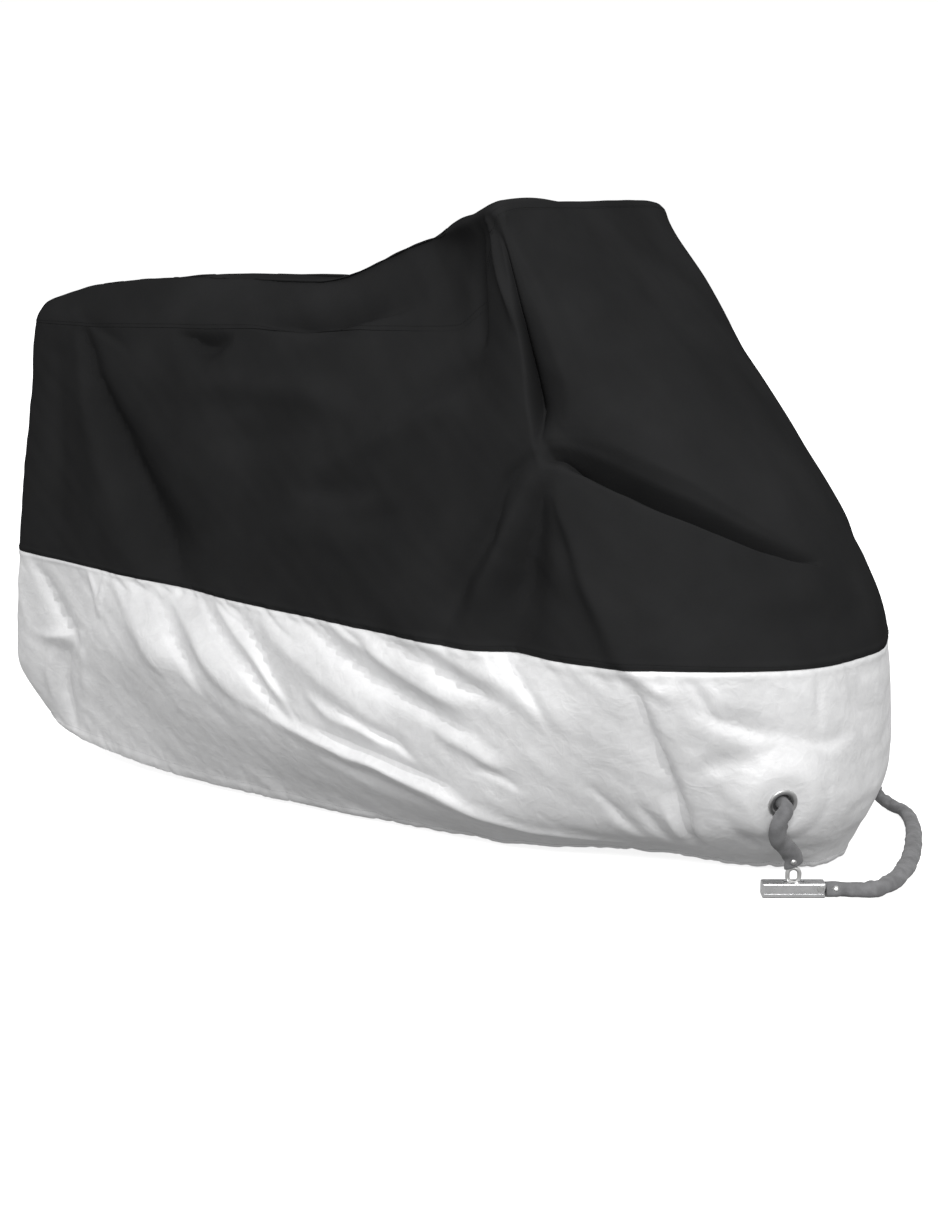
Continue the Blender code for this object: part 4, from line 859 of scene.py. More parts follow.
def crease_on_form(way, downward):
    """Columns and rows of the form along a way over the right side, as a smooth line."""
    line = curve_through(np.array(way) * (1, RIGHT, 1), 0.01)[0]
    near = form[:, CREASES_FROM * FINE:NOSE * FINE]
    gap = np.linalg.norm(near[None] - line[:, None, None], axis=-1).reshape(len(line), -1)
    down, across = np.unravel_index(gap.argmin(axis=1), near.shape[:2])
    columns, rows = CREASES_FROM + across / FINE, down / FINE
    if downward:
        even = np.linspace(rows[0], rows[-1], CREASE_MARKS)
        return np.polyval(np.polyfit(rows, columns, 3), even), even
    even = np.linspace(columns[0], columns[-1], CREASE_MARKS)
    return even, np.polyval(np.polyfit(columns, rows, 4), even)


deep_line = crease_on_form(DEEP_FOLD, False)
hollow_line = crease_on_form(HOLLOW, True)
folds = [fold_line(np.array(way) * (1, side, 1), heights, widths, side * -lean, sharp)
         for side, way, heights, widths, lean, sharp in FOLDS]
folds.append(fold_line(on_form(*deep_line), DEEP_HEIGHTS, DEEP_WIDTHS, 0.70, 1.0))
folds.append(fold_line(on_form(*hollow_line), HOLLOW_HEIGHTS, HOLLOW_WIDTHS, 0.70, 1.0))

# Gathers: where the skirt was eased to the side panel's edge, short puckers slant down from
# the band, crowded at the rear of the side and few ahead of the foot peg
CROWDED = ((13, 31), (74, 91))          # columns
chance = np.random.default_rng(11)
column = 13.6
while column < 2 * NOSE:
    crowded = any(start < column < end for start, end in CROWDED)
    nearer = column if column < NOSE else 2 * NOSE - column
    slant = (1.5 if RACK < nearer < BAR_END else 0.3) * (1 if column < NOSE else -1)
    long = chance.uniform(0.5, 1.9) * (1.0 if crowded else 0.7)
    ahead = slant * long * chance.uniform(0.5, 1.1)
    bent = 0.35 * ahead * chance.uniform(-0.3, 0.6)
    marks = on_form(column + np.array([0, 0.5 * ahead + bent, ahead]),
                    BAND + np.array([-0.05, 0.5 * long, long]))
    deep = -chance.uniform(0.0020, 0.0052) * (1.0 if crowded else 0.55)
    wide = chance.uniform(0.0045, 0.0085)
    folds.append(fold_line(marks, (deep, deep, 0.0), (wide, 1.3 * wide, 1.9 * wide),
                           -0.25 * np.sign(slant), 0.5))
    column += chance.uniform(0.28, 0.8) * (1.0 if crowded else 1.7)

# Puckers above the hem, pulled up by its elastic
column = 0.0
while column < 103.7:
    long = chance.uniform(0.5, 1.6)
    ahead = chance.normal() * 0.25
    marks = on_form(column + np.array([0, 0.5 * ahead, ahead]),
                    HEM - np.array([0.02, 0.5 * long, long]))
    deep = -chance.uniform(0.0008, 0.0034)
    wide = chance.uniform(0.0045, 0.0100)
    folds.append(fold_line(marks, (deep, 0.8 * deep, 0.0), (wide, 1.3 * wide, 1.8 * wide),
                           0.0, 0.4))
    column += chance.uniform(0.3, 1.6)

# The cloth lies flat round each eyelet, and crumples everywhere else
EYELET_TURN, EYELET_TIP = math.radians(42.0), math.radians(-12.0)
FLAT_WITHIN, FLAT_TO = 0.050, 0.110
eyelets = [(np.array(EYELET_CENTRE) * (1, side, 1),
            np.array([math.sin(EYELET_TURN) * math.cos(EYELET_TIP),
                      side * math.cos(EYELET_TURN) * math.cos(EYELET_TIP), math.sin(EYELET_TIP)]))
           for side in (RIGHT, LEFT)]
CRUMPLES = (         # cloth, height, size of the lumps, seed
    ("black", 0.0022, (0.070, 0.20, 0.30), 31), ("black", 0.0010, (0.030, 0.10, 0.12), 32),
    ("silver", 0.0024, (0.150, 0.15, 0.050), 33), ("silver", 0.0010, (0.060, 0.06, 0.022), 34),
    ("hem", 0.0018, (0.024, 0.024, 0.05), 35))


def turned(points, ahead, up):
    """Points turned round Y, by the angle that the two numbers give."""
    return points @ np.array([[ahead, 0.0, up], [0.0, 1.0, 0.0], [-up, 0.0, ahead]]).T


def hang(points, normals, rows):
    """Points of the form with every fold and crumple of the cloth pressed into them."""
    shape = points.shape
    points, normals = points.reshape(-1, 3), normals.reshape(-1, 3)
    rows = np.broadcast_to(rows, shape[:-1]).ravel()
    wander = np.stack([rumple(points, WANDER_SIZE, seed) for seed in (21, 22, 23)], axis=1)
    placed = points + fold_push(points, points + WANDER * wander, normals, folds)
    below = eased((rows - BAND) / 0.6)
    # long faint pulls in the black cloth, shorter ones that slant the other way in the silver
    cloths = {"black": (1 - below, turned(points, 0.64, 0.77)),
              "silver": (below, turned(points, 0.80, -0.60)),
              "hem": (1 - eased((HEM - rows) / 1.6), points)}
    push = 0.0
    for cloth, high, size, seed in CRUMPLES:
        share, at = cloths[cloth]
        push = push + share * high * rumple(at, size, seed)
    placed += push[:, None] * normals
    for centre, facing in eyelets:
        gap = np.linalg.norm(placed - centre, axis=1)
        level = eased((FLAT_TO - gap) / (FLAT_TO - FLAT_WITHIN))
        placed -= (level * ((placed - centre) @ facing))[:, None] * facing
    return placed.reshape(shape)


SEAM_SHOWS_TO, SEAM_FADES_OVER = 29.5, 3.5      # columns


def seam_shows(columns):
    """1 where the seat's seam stands out, 0 where it runs up under the handlebar's ends."""
    nearer = np.minimum(columns, 2 * NOSE - columns)
    return 1 - eased((nearer - SEAM_SHOWS_TO) / SEAM_FADES_OVER)


def panel_columns(near, far):
    """Columns at even distances round the band: a number for each half."""
    fine = np.linspace(0, NOSE, 1041)
    reach = reach_along(on_form(fine, BAND + 1.5))
    right = np.interp(np.linspace(0, reach[-1], near + 1), reach, fine)
    left = 2 * NOSE - np.interp(np.linspace(0, reach[-1], far + 1), reach, fine)[::-1]
    return np.concatenate([right[:-1], left[:-1]])


def vertex_normals(points, faces):
    """Unit normals of a mesh of four-sided faces."""
    a, b, c, d = (points[faces[:, k]] for k in range(4))
    face = np.cross(c - a, d - b)
    normals = np.zeros_like(points)
    for k in range(4):
        np.add.at(normals, faces[:, k], face)
    return unit(normals)


def ring_faces(down, across):
    """Outward faces of a grid of rows by columns that closes on itself, and column numbers."""
    row, column = np.mgrid[0:down - 1, 0:across]
    after = (column + 1) % across
    faces = np.stack([row * across + column, (row + 1) * across + column,
                      (row + 1) * across + after, row * across + after], axis=-1)
    return faces.reshape(-1, 4)


def ring_uv(at_row, at_column):
    """Face corner UVs of the same grid, in metres round and down."""
    down, across = len(at_row), len(at_column) - 1
    row, column = np.mgrid[0:down - 1, 0:across]
    u = np.stack([at_column[column], at_column[column], at_column[column + 1],
                  at_column[column + 1]], axis=-1)
    v = np.stack([at_row[row], at_row[row + 1], at_row[row + 1], at_row[row]], axis=-1)
    return np.stack([u, -v], axis=-1).reshape(-1, 4, 2)


def ring_panel(name, columns, rows, outward, thick):
    """Sheet of cloth right round the cover: outer and inner side and both rims.

    rows gives the form's row at each grid point.  outward moves each point out along the
    cloth, thick is the cloth's thickness there.  The inner side has a sixteenth of the faces,
    laid just inside the deepest outer point near it.  Gives back the piece, its outer points
    and their normals.
    """
    grid_column, grid_row = np.broadcast_arrays(columns, rows)
    placed = hang(on_form(grid_column, grid_row), form_normals(grid_column, grid_row), grid_row)
    down, across = placed.shape[:2]
    faces = ring_faces(down, across)
    normals = vertex_normals(placed.reshape(-1, 3), faces).reshape(placed.shape)
    outer = placed + outward[..., None] * normals
    inner = outer - thick[..., None] * normals
    low, depth = inner[::4, ::4].copy(), 0.0
    for i in range(-3, 4):
        near = inner[np.clip(np.arange(0, down, 4) + i, 0, down - 1)]
        for j in range(-3, 4):
            beside = np.roll(near, -j, axis=1)[:, ::4]
            depth = np.minimum(depth, ((beside - low) * normals[::4, ::4]).sum(axis=-1))
    low += 0.6 * depth[..., None] * normals[::4, ::4]
    low[0], low[-1] = inner[0, ::4], inner[-1, ::4]
    base = down * across
    count = across // 4
    inner_faces = base + ring_faces(low.shape[0], count)[:, ::-1]
    k = np.arange(count)
    in_a, in_b = base + k, base + (k + 1) % count
    foot, in_foot = (down - 1) * across, (low.shape[0] - 1) * count
    rim = []             # at each rim, four outer edges meet one inner edge
    for m in range(4):
        here, after = 4 * k + m, (4 * k + m + 1) % across
        turn = in_a if m < 2 else in_b
        rim += [np.stack([here, after, turn], 1),
                np.stack([foot + after, foot + here, in_foot + turn], 1)]
    middle = 4 * k + 2
    rim += [np.stack([middle, in_b, in_a], 1),
            np.stack([foot + middle, in_foot + in_a, in_foot + in_b], 1)]
    rim = np.concatenate(rim)
    round_steps = np.linalg.norm(np.diff(placed, axis=1, append=placed[:, :1]), axis=-1)
    round_at = np.concatenate([[0], np.cumsum(round_steps.mean(axis=0))])
    down_steps = np.linalg.norm(np.diff(placed, axis=0), axis=-1)
    down_at = np.concatenate([[0], np.cumsum(down_steps.mean(axis=1))])
    uv = ring_uv(down_at, round_at)
    inner_uv = ring_uv(down_at[::4], round_at[::4])[:, ::-1]
    rim_uv = np.zeros((len(rim), 3, 2))
    rim_uv[..., 0] = np.tile(round_at[:-1][4 * k], len(rim) // count)[:, None]
    piece = mesh_piece(name, np.concatenate([outer.reshape(-1, 3), low.reshape(-1, 3)]),
                       [*faces.tolist(), *inner_faces.tolist(), *rim.tolist()],
                       np.concatenate([uv.reshape(-1, 2), inner_uv.reshape(-1, 2),
                                       rim_uv.reshape(-1, 2)]),
                       rims=(slice(0, across), slice(foot, foot + across)))
    return piece, outer, normals


# ---------------------------------------------------------------------------------------------
# Skirt: silver-coated polyester from the band to the hem.  The coating is a thin bright film
# over a fine plain weave, so the cloth shines softly and every crumple shows.  Its hem is
# turned up over an elastic cord.

SILVER = (0.84, 0.84, 0.845)
SILVER_PITCH = 0.0011
SKIRT_ROWS, SKIRT_LAP = 109, 0.12       # points down the skirt; rows it runs up under the belt
SKIRT_HIGH, CASING_HALF = 0.50, 0.009   # the skirt's height; half the width of its casing


def silver_coat():
    """Silver film on a fine weave: bright and dull patches, small creases, a soft shine."""
    shade = Shade("silver_polyester")
    place = shade.node("ShaderNodeTexCoord", out="Object")
    weave = shade.weave(SILVER_PITCH, SILVER_PITCH)
    patch = shade.noise(place, 7.0, 4.0)
    crumple = shade.noise(place, 42.0, 4.0, Roughness=0.55, Distortion=0.8)
    crease = shade.noise(place, 16.0, 2.0, Distortion=1.2)
    ridge = 1.0 - ((crease - 0.5).size() * 9.0).at_most(1.0)
    flake = shade.noise(place, 1400.0, 1.0)
    tone = patch * 0.45 + crumple * 0.35 + flake * 0.20
    shade.feed("Base Color", shade.mixed(tone.lift(0.30, 0.70), toned(SILVER, 0.90),
                                         toned(SILVER, 1.06)))
    shade.feed("Metallic", 0.22)
    shade.feed("Roughness", 0.46 + 0.10 * patch + 0.05 * flake)
    shade.feed("Specular IOR Level", 0.1)
    shade.bump(crumple * 1.6 + ridge * 0.35 + weave * 0.04, 0.35, 0.0025)
    return shade.material


silver = silver_coat()
columns = panel_columns(near=412, far=268)
rows = np.linspace(BAND - SKIRT_LAP, HEM, SKIRT_ROWS)
from_hem = (HEM - rows) / (HEM - BAND) * SKIRT_HIGH
casing = np.sqrt(np.maximum(1 - ((from_hem - CASING_HALF) / CASING_HALF) ** 2, 0))
tucked = -0.0024 * (1 - eased((rows - BAND + 0.04) / 0.14))
tucked += 0.0016 * np.exp(-((rows - BAND - 0.22) / 0.14) ** 2)
skirt, skirt_cloth, skirt_out = ring_panel(
    "silver_skirt", columns, rows[:, None], (tucked + 0.0020 * casing)[:, None],
    (COATED_CLOTH + 0.0040 * casing)[:, None])
skirt.data.materials.append(silver)
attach(skirt, "root")
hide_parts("skirt")

# ---------------------------------------------------------------------------------------------
# Side panel: a belt of black polyester from the seat's seam down to the band, lapped over the
# skirt and stitched twice.

BLACK = (0.0195, 0.0196, 0.0200)
BLACK_PITCH = 0.0012
BELT_ROWS = 133
CREASE_ROW, PARTINGS = 69, 8            # the grid row for the deep crease; rounds of parting
PARTS_OVER, FADES_OVER = 6.0, 8         # columns beside the hollow; columns past the crease


def black_polyester():
    """Black plain weave with a dull finish: threads, small crumples, faint patches of dust."""
    shade = Shade("black_polyester")
    place = shade.node("ShaderNodeTexCoord", out="Object")
    weave = shade.weave(BLACK_PITCH, BLACK_PITCH)
    patch = shade.noise(place, 5.0, 5.0)
    crumple = shade.noise(place, 30.0, 3.0, Distortion=0.6)
    thread = shade.noise(place, 1100.0, 2.0)
    tone = patch * 0.6 + thread * 0.4
    shade.feed("Base Color", shade.mixed(tone.lift(0.30, 0.72), toned(BLACK, 0.86),
                                         toned(BLACK, 1.22)))
    shade.feed("Roughness", 0.50 + 0.12 * patch + 0.06 * thread)
    shade.feed("Specular IOR Level", 0.0)
    shade.bump(crumple * 0.8 + weave * 0.05 + thread * 0.05, 0.30, 0.0022)
    return shade.material


black = black_polyester()
rows = np.linspace(SEAM - 0.10, BAND + 0.03, BELT_ROWS)[:, None]
# One grid row runs along the deep crease and one grid column down the hollow, and the rest of
# the grid parts for them
even_rows, even_columns = rows, columns
level, plumb = rows[CREASE_ROW, 0], columns[np.abs(columns - hollow_line[0].mean()).argmin()]
part = np.where(rows < level, (rows - rows[0]) / (level - rows[0]),
                (rows[-1] - rows) / (rows[-1] - level))
aside = np.clip(1 - np.abs(columns - plumb) / PARTS_OVER, 0, 1)
for _ in range(PARTINGS):
    beyond = np.maximum(deep_line[0][0] - columns, columns - deep_line[0][-1])
    steer = (np.interp(columns, *deep_line) - level) * (1 - eased(beyond / FADES_OVER))
    rows = even_rows + part * steer
    columns = even_columns + aside * (np.interp(rows, hollow_line[1], hollow_line[0]) - plumb)
lapped = 0.0013 * eased((rows - BAND + 0.35) / 0.15)
tucked = -0.0003 - 0.0012 * (1 - eased((rows - SEAM + 0.02) / 0.12)) * seam_shows(columns)
side_belt, side_cloth, side_out = ring_panel(
    "black_side", columns, rows, lapped + tucked, np.full((len(rows), 1), COATED_CLOTH))
side_belt.data.materials.append(black)
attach(side_belt, "root")
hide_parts("side_panel")

# ---------------------------------------------------------------------------------------------
# Top panel: the black piece over the seat, the tank and the handlebar, lapped over the side
# panel along the seat's seam.

TOP_ALONG, TOP_ACROSS, TOP_DOWN = 150, 108, 14
TOP_ROUNDS, TOP_HIGH = 14, 1.25         # rounds of smoothing; height that its UV starts from


def top_grid():
    """The patch between the top edges, as [along, across] points, arched in the middle."""
    side = np.linspace(RACK, BAR_END, TOP_ALONG + 1)
    right = on_form(side, 0.0)
    left = on_form(2 * NOSE - side, 0.0)
    ahead = on_form(np.linspace(BAR_END, 2 * NOSE - BAR_END, TOP_ACROSS + 1), 0.0)
    behind = on_form(np.linspace(RACK, -RACK, TOP_ACROSS + 1) % (2 * NOSE), 0.0)
    t = np.linspace(0, 1, TOP_ALONG + 1)[:, None, None]
    s = np.linspace(0, 1, TOP_ACROSS + 1)[None, :, None]
    corners = ((1 - t) * ((1 - s) * right[0] + s * left[0])
               + t * ((1 - s) * right[-1] + s * left[-1]))
    grid = (1 - s) * right[:, None] + s * left[:, None] + (1 - t) * behind + t * ahead - corners
    share, height = zip(*TOP_ARCH)
    arch = smooth_through(share, np.array(height)[:, None], t[:, 0, 0])
    grid[:, :, 2] += arch * np.sin(math.pi * s[:, :, 0])
    return grid


half = TOP_ACROSS // 2
ring_columns = np.concatenate([
    np.linspace(TAIL, RACK, half + 1)[:-1], np.linspace(RACK, BAR_END, TOP_ALONG + 1)[:-1],
    np.linspace(BAR_END, 2 * NOSE - BAR_END, TOP_ACROSS + 1)[:-1],
    np.linspace(2 * NOSE - BAR_END, 2 * NOSE - RACK, TOP_ALONG + 1)[:-1],
    np.linspace(2 * NOSE - RACK, 2 * NOSE, half + 1)[:-1]])
ring_rows = np.linspace(EDGE, SEAM + 0.04, TOP_DOWN + 1)
wall = on_form(*np.meshgrid(ring_columns, ring_rows))
around_count = len(ring_columns)
wall_count = wall.shape[0] * around_count
walls = slice(0, wall_count)
patch = top_grid()
rim_front = half + TOP_ALONG
number = np.zeros(patch.shape[:2], int)
inside = (TOP_ALONG - 1) * (TOP_ACROSS - 1)
number[1:-1, 1:-1] = wall_count + np.arange(inside).reshape(TOP_ALONG - 1, -1)
number[:, 0] = np.arange(half, rim_front + 1)
number[-1] = np.arange(rim_front, rim_front + TOP_ACROSS + 1)
number[:, -1] = np.arange(rim_front + TOP_ACROSS, rim_front + TOP_ACROSS + TOP_ALONG + 1)[::-1]
number[0] = np.arange(half, half - TOP_ACROSS - 1, -1) % around_count
points = np.concatenate([wall.reshape(-1, 3), patch[1:-1, 1:-1].reshape(-1, 3)])
faces = np.concatenate([
    ring_faces(TOP_DOWN + 1, around_count),
    np.stack([number[:-1, :-1], number[1:, :-1], number[1:, 1:], number[:-1, 1:]],
             axis=-1).reshape(-1, 4)])
row_of = np.zeros(len(points))
row_of[walls] = np.repeat(ring_rows, around_count)
loose = (1 - eased((row_of - 0.8) / 0.8))[:, None]
start, end = faces.ravel(), np.roll(faces, -1, axis=1).ravel()
beside = np.bincount(start, minlength=len(points)) + np.bincount(end, minlength=len(points))
for _ in range(TOP_ROUNDS):
    total = np.zeros_like(points)
    np.add.at(total, start, points[end])
    np.add.at(total, end, points[start])
    points = points + 0.5 * loose * (total / beside[:, None] - points)
leaning = vertex_normals(points, faces)
held_on = eased((ring_rows - 0.9) / 0.7)[:, None, None]
wall_out = form_normals(*np.meshgrid(ring_columns, ring_rows))
leaning[walls] = unit((1 - held_on) * leaning[walls].reshape(wall.shape)
                      + held_on * wall_out).reshape(-1, 3)
placed = hang(points, leaning, row_of)
normals = vertex_normals(placed, faces)
shown = np.ones(len(points))
shown[walls] = np.tile(seam_shows(ring_columns), wall.shape[0])
edge_near = eased((row_of - SEAM + 0.30) / 0.15)
outer = placed + (0.0004 * edge_near * shown)[:, None] * normals
inner = outer - (COATED_CLOTH - 0.0008 * edge_near * (1 - shown))[:, None] * normals
foot = TOP_DOWN * around_count + np.arange(around_count)
foot_on = TOP_DOWN * around_count + (np.arange(around_count) + 1) % around_count
rim = np.stack([foot_on, foot, len(points) + foot, len(points) + foot_on], axis=1)
all_points = np.concatenate([outer, inner])
all_faces = np.concatenate([faces, len(points) + faces[:, ::-1], rim])
corner = all_points[all_faces]
uv = np.stack([corner[..., 0], corner[..., 1] + np.sign(corner[..., 1].mean(axis=1))[:, None]
               * (TOP_HIGH - corner[..., 2])], axis=-1)
top = mesh_piece("black_top", all_points, all_faces.tolist(), uv.reshape(-1, 2), rims=(foot,))
top.data.materials.append(black)
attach(top, "root")
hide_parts("top_panel")

# ---------------------------------------------------------------------------------------------
# Eyelets: plated brass, one on each side of the skirt: a barrel through a hole in the cloth,
# rolled over in a round rim outside and pressed flat on a washer inside.

EYELET_HOLE, EYELET_ROUND = 0.0187, 80
CUT_DEEP = 0.012     # how far the hole's cutter stands out of the cloth on each side
EYELET_PROFILE = (                       # (radius, height above the cloth)
    (0.0179, -0.0041), (0.0272, -0.0038), (0.0279, -0.0031), (0.0277, -0.0021), (0.0270, -0.0016),
    (0.0200, -0.0016), (0.0195, -0.0012), (0.0195, 0.0001), (0.0200, 0.0005), (0.0266, 0.0004),
    (0.0276, 0.0007), (0.0280, 0.0014), (0.0278, 0.0023), (0.0270, 0.0032), (0.0258, 0.0039),
    (0.0242, 0.0043), (0.0226, 0.0044), (0.0210, 0.0041), (0.0196, 0.0034), (0.0185, 0.0024),
    (0.0178, 0.0012), (0.0175, -0.0004), (0.0175, -0.0034))


def upright(centre, facing):
    """Placing of a thing turned round Z, so that it stands on the cloth and faces out."""
    place = Vector(facing).to_track_quat("Z", "Y").to_matrix().to_4x4()
    place.translation = Vector(centre)
    return np.array(place)


plated = worn_metal("eyelet_plating", (0.66, 0.66, 0.655), rough=0.26, grain=120.0, brushed=0.10)
eyelet_pieces, cutters, cutter_faces = [], [], []
turn = np.linspace(0, math.tau, EYELET_ROUND, endpoint=False)
for (centre, facing), node in zip(eyelets, ("eyelet_right", "eyelet_left")):
    place = upright(centre, facing)
    radius, height = np.array(EYELET_PROFILE).T
    ring = np.stack([radius[:, None] * np.cos(turn), radius[:, None] * np.sin(turn),
                     height[:, None] + 0 * turn], axis=-1)
    ring[..., 2] += 0.00012 * rumple(ring * (1, 1, 0), 0.012, 41)
    k, m = np.mgrid[0:len(radius), 0:EYELET_ROUND]
    after, beyond = (k + 1) % len(radius), (m + 1) % EYELET_ROUND
    faces = np.stack([k * EYELET_ROUND + m, k * EYELET_ROUND + beyond,
                      after * EYELET_ROUND + beyond, after * EYELET_ROUND + m], axis=-1)
    eyelet = mesh_piece("rolled_" + node, ring.reshape(-1, 3) @ place[:3, :3].T + place[:3, 3],
                        faces.reshape(-1, 4).tolist())
    eyelet.data.set_sharp_from_angle(angle=math.radians(50))
    eyelet.data.materials.append(plated)
    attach(eyelet, "root")
    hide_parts(node)
    eyelet_pieces.append(eyelet)
    disc = np.stack([EYELET_HOLE * np.cos(turn), EYELET_HOLE * np.sin(turn), 0 * turn], axis=-1)
    foot = sum(len(part) for part in cutters)
    cutters.append(np.concatenate([disc - (0, 0, CUT_DEEP), disc + (0, 0, CUT_DEEP)])
                   @ place[:3, :3].T + place[:3, 3])
    m = np.arange(EYELET_ROUND)
    on = (m + 1) % EYELET_ROUND
    cutter_faces += (foot + np.stack([m, on, EYELET_ROUND + on, EYELET_ROUND + m], 1)).tolist()
    cutter_faces += [(foot + m[::-1]).tolist(), (foot + EYELET_ROUND + m).tolist()]

cutter = mesh_piece("eyelet_holes", np.concatenate(cutters), cutter_faces, smooth=False)
cut = skirt.modifiers.new("holes", "BOOLEAN")
cut.operation, cut.solver, cut.object = "DIFFERENCE", "MANIFOLD", cutter
skirt.data = bpy.data.meshes.new_from_object(
    skirt.evaluated_get(bpy.context.evaluated_depsgraph_get()))
skirt.modifiers.clear()
bpy.data.objects.remove(cutter)

# ---------------------------------------------------------------------------------------------
# Stitches: two rows that hold the side panel to the skirt at the band, one along the seat's
# seam and one above the hem that closes the elastic's casing.

STITCH_LONG, STITCH_GAP, STITCH_WIDE, HEM_STITCH_WIDE = 0.0034, 0.0014, 0.0008, 0.0007
STITCH_LOW, STITCH_PEAK = -0.6, 1.7     # its ends sink into the cloth; both in thread widths

def thread(name, colour):
    """Twisted sewing thread."""
    shade = Shade(name)
    place = shade.node("ShaderNodeTexCoord", out="Object")
    twist = shade.node("ShaderNodeTexWave", Vector=place, Scale=900.0, Distortion=1.0)
    worn = shade.noise(place, 60.0, 3.0)
    shade.feed("Base Color", shade.mixed(worn.lift(0.3, 0.7), toned(colour, 0.75), colour))
    shade.feed("Roughness", 0.55 + 0.2 * worn)
    shade.feed("Specular IOR Level", 0.05)
    shade.bump(twist, 0.4, 0.0002)
    return shade.material


def stitches(name, lines, material, long, gap, wide, seed):
    """Stitches along closed lines of (points, outward directions) on the cloth."""
    base = bpy.data.meshes.new(name + "_line")
    count = [len(points) for points, _ in lines]
    starts = np.concatenate([[0], np.cumsum(count)])
    edges = [(start + k, start + (k + 1) % n) for start, n in zip(starts, count) for k in range(n)]
    base.from_pydata(np.concatenate([points for points, _ in lines]).tolist(), edges, [])
    base.attributes.new("out", "FLOAT_VECTOR", "POINT").data.foreach_set(
        "vector", np.concatenate([out for _, out in lines]).astype(np.float32).ravel())
    grow = Growth(name, Long=long, Gap=gap, Wide=wide, Seed=seed)
    size = grow.given
    line = grow.node("GeometryNodeMeshToCurve", Mesh=size["Geometry"])
    line = grow.node("GeometryNodeResampleCurve", settings={"mode": "LENGTH"}, Curve=line,
                     Length=size["Long"] + size["Gap"])
    out = grow.node("GeometryNodeInputNamedAttribute", settings={"data_type": "FLOAT_VECTOR"},
                    Name="out")
    turn = grow.node("FunctionNodeAlignRotationToVector", settings={"axis": "X"},
                     Vector=grow.node("GeometryNodeInputTangent"))
    turn = grow.node("FunctionNodeAlignRotationToVector",
                     settings={"axis": "Z", "pivot_axis": "X"}, Rotation=turn, Vector=out)
    back, front = (grow.node("ShaderNodeCombineXYZ", X=size["Long"] * half,
                             Z=size["Wide"] * STITCH_LOW) for half in (-0.5, 0.5))
    peak = grow.node("ShaderNodeCombineXYZ", Z=size["Wide"] * STITCH_PEAK)
    bow = grow.node("GeometryNodeCurveQuadraticBezier", Resolution=5, Start=back, Middle=peak,
                    End=front)
    tube = grow.node("GeometryNodeCurveToMesh", Curve=bow, Fill_Caps=True,
                     Profile_Curve=grow.node("GeometryNodeCurvePrimitiveCircle", Resolution=5,
                                             Radius=size["Wide"] * 0.5))
    tube = grow.node("GeometryNodeSetShadeSmooth", Geometry=tube)
    scale = grow.node("FunctionNodeRandomValue", out=1, settings={"data_type": "FLOAT"},
                      i2=0.86, i3=1.08, Seed=size["Seed"])
    sewn = grow.node("GeometryNodeInstanceOnPoints", Points=line, Instance=tube, Rotation=turn,
                     Scale=grow.node("ShaderNodeCombineXYZ", X=scale, Y=1.0, Z=1.0))
    return grow.grown(name, base, sewn, material)


black_thread = thread("black_thread", (0.011, 0.011, 0.0114))
grey_thread = thread("grey_thread", (0.42, 0.42, 0.43))
seam_row = slice((TOP_DOWN - 1) * around_count, TOP_DOWN * around_count)
band_stitches = stitches("band_stitches", [(side_cloth[k], side_out[k]) for k in (-3, -2)],
                         black_thread, STITCH_LONG, STITCH_GAP, STITCH_WIDE, seed=3)
seat_stitches = stitches("seat_stitches", [(outer[seam_row], normals[seam_row])],
                         black_thread, STITCH_LONG, STITCH_GAP, STITCH_WIDE, seed=4)
hem_stitches = stitches("hem_stitches", [(skirt_cloth[-5], skirt_out[-5])],
                        grey_thread, STITCH_LONG, STITCH_GAP, HEM_STITCH_WIDE, seed=5)
for piece, node, made in ((band_stitches, "side_panel", "black_cloth"),
                          (seat_stitches, "top_panel", "black_cloth"),
                          (hem_stitches, "skirt", "silver_cloth")):
    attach(piece, "root")
    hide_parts(node)

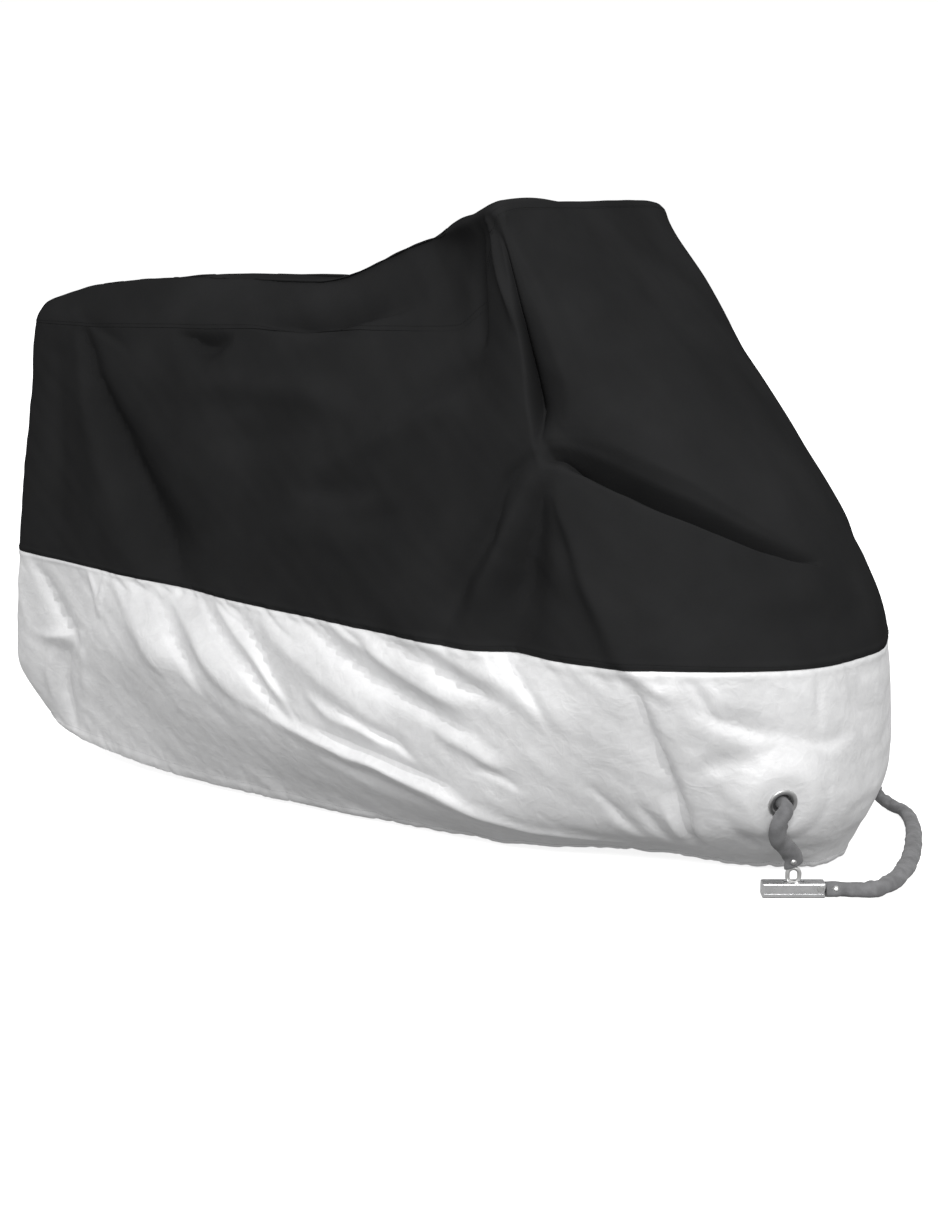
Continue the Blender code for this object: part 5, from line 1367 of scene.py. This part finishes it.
# ---------------------------------------------------------------------------------------------
# Floor and light: a pale floor, one big soft light high in front on the near side, and a pale
# surround that is dimmer below.

floor = mesh_piece("floor", [(-14, -14, 0), (14, -14, 0), (14, 14, 0), (-14, 14, 0)],
                   [(0, 1, 2, 3)], smooth=False)
paint = Shade("pale_floor")
paint.feed("Base Color", (0.80, 0.80, 0.80))
paint.feed("Emission Color", (1.0, 1.0, 1.0))
paint.feed("Emission Strength", 0.85)
paint.feed("Roughness", 0.9)
paint.feed("Specular IOR Level", 0.1)
floor.data.materials.append(paint.material)
floor.visible_diffuse = floor.visible_glossy = False

world = bpy.data.worlds.new("surround")
world.use_nodes = True
sky = world.node_tree
glow = sky.nodes["Background"]
glow.inputs["Color"].default_value = (1.0, 1.0, 1.0, 1.0)
way_up = sky.nodes.new("ShaderNodeSeparateXYZ")
sky.links.new(sky.nodes.new("ShaderNodeTexCoord").outputs["Generated"], way_up.inputs["Vector"])
height = sky.nodes.new("ShaderNodeMapRange")
for plug, value in zip(("From Min", "From Max", "To Min", "To Max"), (-1.0, 1.0, 0.14, 0.98)):
    height.inputs[plug].default_value = value
sky.links.new(way_up.outputs["Z"], height.inputs["Value"])
level = sky.nodes.new("ShaderNodeMix")
level.inputs["B"].default_value = 1.02
sky.links.new(sky.nodes.new("ShaderNodeLightPath").outputs["Is Camera Ray"],
              level.inputs["Factor"])
sky.links.new(height.outputs["Result"], level.inputs["A"])
sky.links.new(level.outputs["Result"], glow.inputs["Strength"])
scene.world = world
scene.view_settings.view_transform = "Standard"


def soft_light(name, at, aim, size, power):
    """Square area light."""
    lamp = bpy.data.lights.new(name, "AREA")
    lamp.shape = "SQUARE"
    lamp.size, lamp.energy = size, power
    holder = bpy.data.objects.new(name, lamp)
    holder.location = at
    holder.rotation_mode = "QUATERNION"
    holder.rotation_quaternion = (Vector(aim) - Vector(at)).to_track_quat("-Z", "Y")
    scene.collection.objects.link(holder)


soft_light("key", at=(2.4, -3.5, 2.9), aim=(0.2, 0.0, 0.5), size=1.5, power=124.0)
